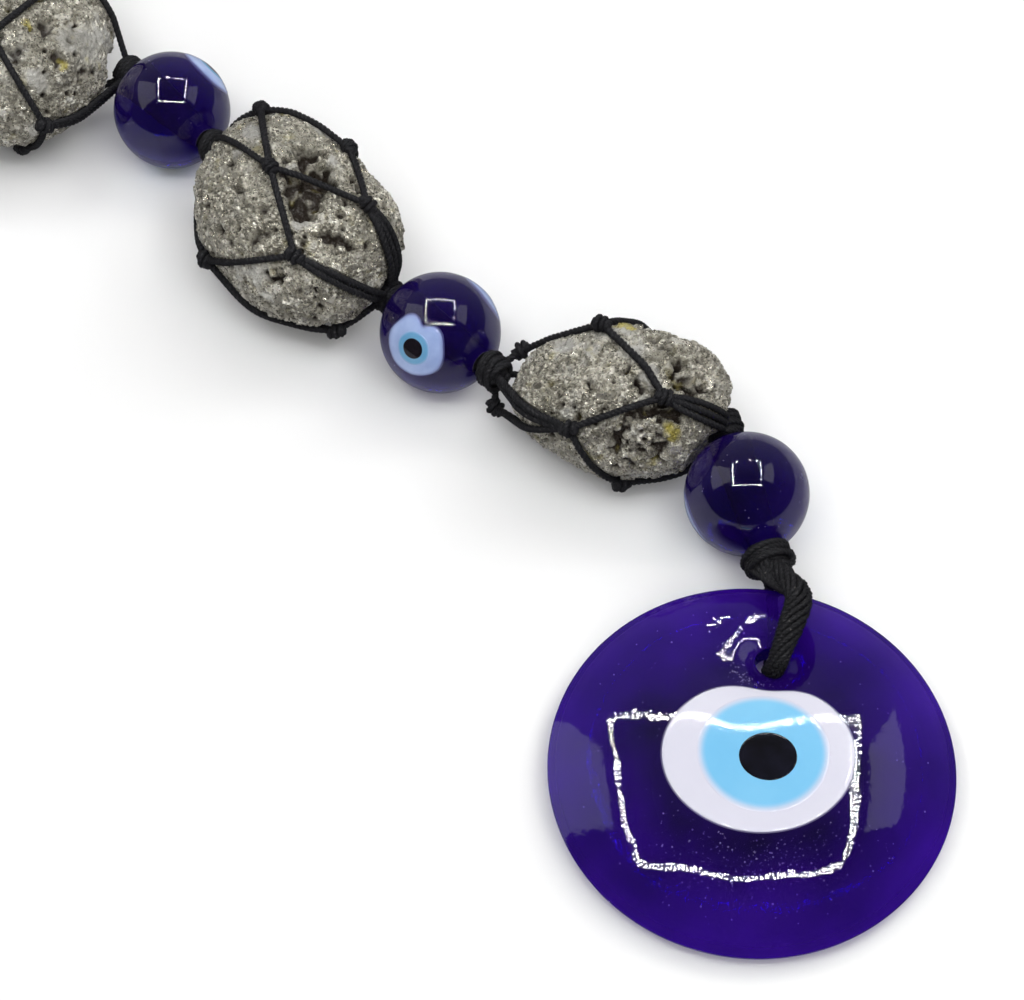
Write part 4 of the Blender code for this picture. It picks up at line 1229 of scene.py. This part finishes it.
def build_pendant_loop():
    knot = neck_point(3, 1)
    kx, ky, kz = knot
    hx, hy = PENDANT_PLACE[0] + HOLE_PLACE[0], PENDANT_PLACE[1] + HOLE_PLACE[1]
    front = [
        (kx + 0.2, ky + 0.2, kz + 0.4, 1.6), (kx + 0.9, ky - 2.4, kz + 1.8, 1.7),
        (kx + 2.3, ky - 5.2, kz + 3.1, 1.9), (kx + 3.9, ky - 8.4, kz + 3.7, 2.25),
        (hx + 3.0, hy + 4.0, 12.3, 2.2), (hx + 1.6, hy + 0.5, 11.4, 1.9),
        (hx + 0.6, hy - 1.9, 9.7, 1.75), (hx + 0.2, hy - 1.8, 7.5, 1.7), (hx, hy - 0.9, 5.2, 1.55),
        (hx, hy - 0.3, 3.8, 1.3),
    ]
    back = [
        (hx, hy, 4.2, 1.2), (hx + 0.1, hy + 1.0, 1.7, 1.0), (hx + 0.3, hy + 3.8, 1.15, 1.0),
        (kx + 0.6, hy + 8.6, 1.15, 1.0), (kx + 0.4, hy + 13.0, 1.45, 1.0),
        (kx + 0.2, ky - 1.0, 3.4, 1.0), (kx, ky, kz - 1.6, 1.0),
    ]
    shells = Shells()
    rope(shells, front, 9, 0.58, 15.0)
    rope(shells, [(x, y, z, radius * 0.55) for x, y, z, radius in front], 4, 0.6, -12.0)
    tail = [(kx + 2.6, ky - 7.8, kz + 3.4), (kx + 1.0, ky - 6.4, kz + 2.9), (kx - 0.6, ky - 4.7, kz + 2.2),
            (kx - 1.3, ky - 3.9, kz + 1.8)]
    tube(shells, route(tail, 0.35), 0.62)
    bump_side = [(kx + 1.6, ky + 0.6, kz + 1.9), (kx + 3.2, ky + 0.9, kz + 1.3),
                 (kx + 3.5, ky - 0.4, kz + 0.7), (kx + 2.4, ky - 1.6, kz + 0.9)]
    tube(shells, clear_of_bead(route(bump_side, 0.35), 3, 0.66), 0.66)
    rope(shells, back, 3, 0.5, 9.0)
    # strands that gather from the side of the knot to the start of the loop
    for across, drop, lift in ((-3.9, 0.9, 0.5), (-3.1, 1.7, 1.3), (-2.2, 2.0, 2.2), (-1.2, 1.8, 2.8)):
        gather = [(kx + across, ky + drop, kz + lift), (kx + across * 0.8, ky + drop - 2.6, kz + lift + 0.3),
                  (kx + across * 0.4 + 0.3, ky - 4.2, kz + 1.9 + 0.2 * lift), (kx + 1.5, ky - 6.7, kz + 2.6)]
        tube(shells, clear_of_bead(route(gather, 0.35), 3, 0.62), 0.62)
    axis = unit(BEADS[3]["bore"])
    barrel_knot(shells, knot - axis * 0.5 + (-0.3, 0.0, 0.0), axis, 4.0, 4.6, 0.56, 5.4, phase=1.0, lean=0.45,
                bead=3)
    barrel_knot(shells, knot - axis * 0.2, axis, 3.0, 5.2, 0.52, 4.2, phase=2.2, lean=-0.6, bead=3)
    barrel_knot(shells, knot + axis * 2.7 + (0.5, 0.0, 0.5), axis, 2.5, 3.6, 0.52, 4.0, phase=0.3, lean=0.3)
    loop = shells.build("pendant_loop_cords", cord_black)
    clipped = Shells()
    tip = np.array(tail[-1]) + unit(np.array(tail[-1]) - tail[-2]) * 0.2
    way = unit(np.array(tail[-1]) - tail[-2])
    tube(clipped, np.array([tip + way * s for s in np.linspace(0.0, 0.22, 4)]), 0.6)
    end = clipped.build("pendant_loop_clipped_end", cord_core)
    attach(end, "loop")
    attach(loop, "loop")
    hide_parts("pendant_loop")


build_pendant_loop()


# ---------------------------------------------------------------- table and light
LAMP_GLOW = 125.0
WALL_GLOW = 1.7
FILL_GLOW = 5.6
KEY_GLOW = 2.6
ROOM_GLOW = 0.5
FRAME_MIDDLE = np.array((20.0, 105.0, 600.0))
FRAME_HALF = 280.0
FRAME_ROWS = 7.0                             # how far each of its two rows is from the frame's line
LAMP_HALF, LAMP_STEP = 2.6, 17.0


def build_table():
    half = 1500.0
    table = mesh_object("table", [(-half, -half, 0), (half, -half, 0), (half, half, 0), (-half, half, 0)],
                        [(0, 1, 2, 3)], floor_pale, smooth=False, closed=False)


def area_light(name, location, aim, width, height, power):
    data = bpy.data.lights.new(name, 'AREA')
    data.shape = 'RECTANGLE'
    data.size = width
    data.size_y = height
    data.energy = power
    lamp = bpy.data.objects.new(name, data)
    bpy.context.scene.collection.objects.link(lamp)
    lamp.location = location
    lamp.rotation_euler = (Vector(aim) - Vector(location)).to_track_quat('-Z', 'Y').to_euler()
    lamp.visible_camera = False
    return lamp


def build_light():
    """A square frame of small lamps over the table, pale walls to both sides and a dim room."""
    lamp = LAMP_HALF
    verts, faces = [], []
    for row in (FRAME_HALF - FRAME_ROWS, FRAME_HALF + FRAME_ROWS):
        for along in np.arange(-row, row + 0.1, LAMP_STEP):
            for x, y in ((along, -row), (along, row), (-row, along), (row, along)):
                spot = FRAME_MIDDLE + (x, y, 0.0)
                first = len(verts)
                verts += [spot + (-lamp, lamp, 0), spot + (lamp, lamp, 0),
                          spot + (lamp, -lamp, 0), spot + (-lamp, -lamp, 0)]
                faces.append((first, first + 1, first + 2, first + 3))
    glow, tree, _ = shader("lamp_glow")
    emit = add(tree, 'ShaderNodeEmission')
    tune(emit, Strength=LAMP_GLOW)
    link(tree, emit.outputs[0], tree.nodes["Material Output"].inputs["Surface"])
    lamps = mesh_object("lamp_frame", verts, faces, glow, smooth=False, closed=False)
    lamps.visible_camera = False
    area_light("wall_left", (-0.30, 0.09, 0.36), (0.3, 0.09, 0.36), 0.30, 0.40, WALL_GLOW * 0.30 * 0.40)
    area_light("wall_right", (0.34, 0.09, 0.43), (-0.3, 0.09, 0.43), 0.30, 0.26, WALL_GLOW * 0.30 * 0.26)
    fill = area_light("fill", (0.05, -0.35, 0.75), (0.02, -0.02, 0.0), 0.9, 0.9, FILL_GLOW)
    key = area_light("key", (0.62, 0.42, 0.62), (0.02, -0.02, 0.0), 0.45, 0.45, KEY_GLOW)
    for soft in (fill, key):
        soft.visible_glossy = False
        soft.visible_transmission = False
    world = bpy.data.worlds.new("studio")
    bpy.context.scene.world = world
    world.use_nodes = True
    tree = world.node_tree
    # the room is dim towards the viewer and overhead, and pale beyond the table
    way = add(tree, 'ShaderNodeTexCoord')
    split = add(tree, 'ShaderNodeSeparateXYZ')
    link(tree, way.outputs["Generated"], split.inputs[0])
    ahead = maths(tree, 'MULTIPLY_ADD', split.outputs["Y"], 0.5)
    ahead.node.inputs[2].default_value = 0.5
    glow = ramp(tree, ahead, [(0.0, 0.05), (0.5, 0.08), (0.8, 0.24), (1.0, 0.34)])
    link(tree, glow, tree.nodes["Background"].inputs["Color"])
    tune(tree.nodes["Background"], Strength=ROOM_GLOW)


build_table()
build_light()
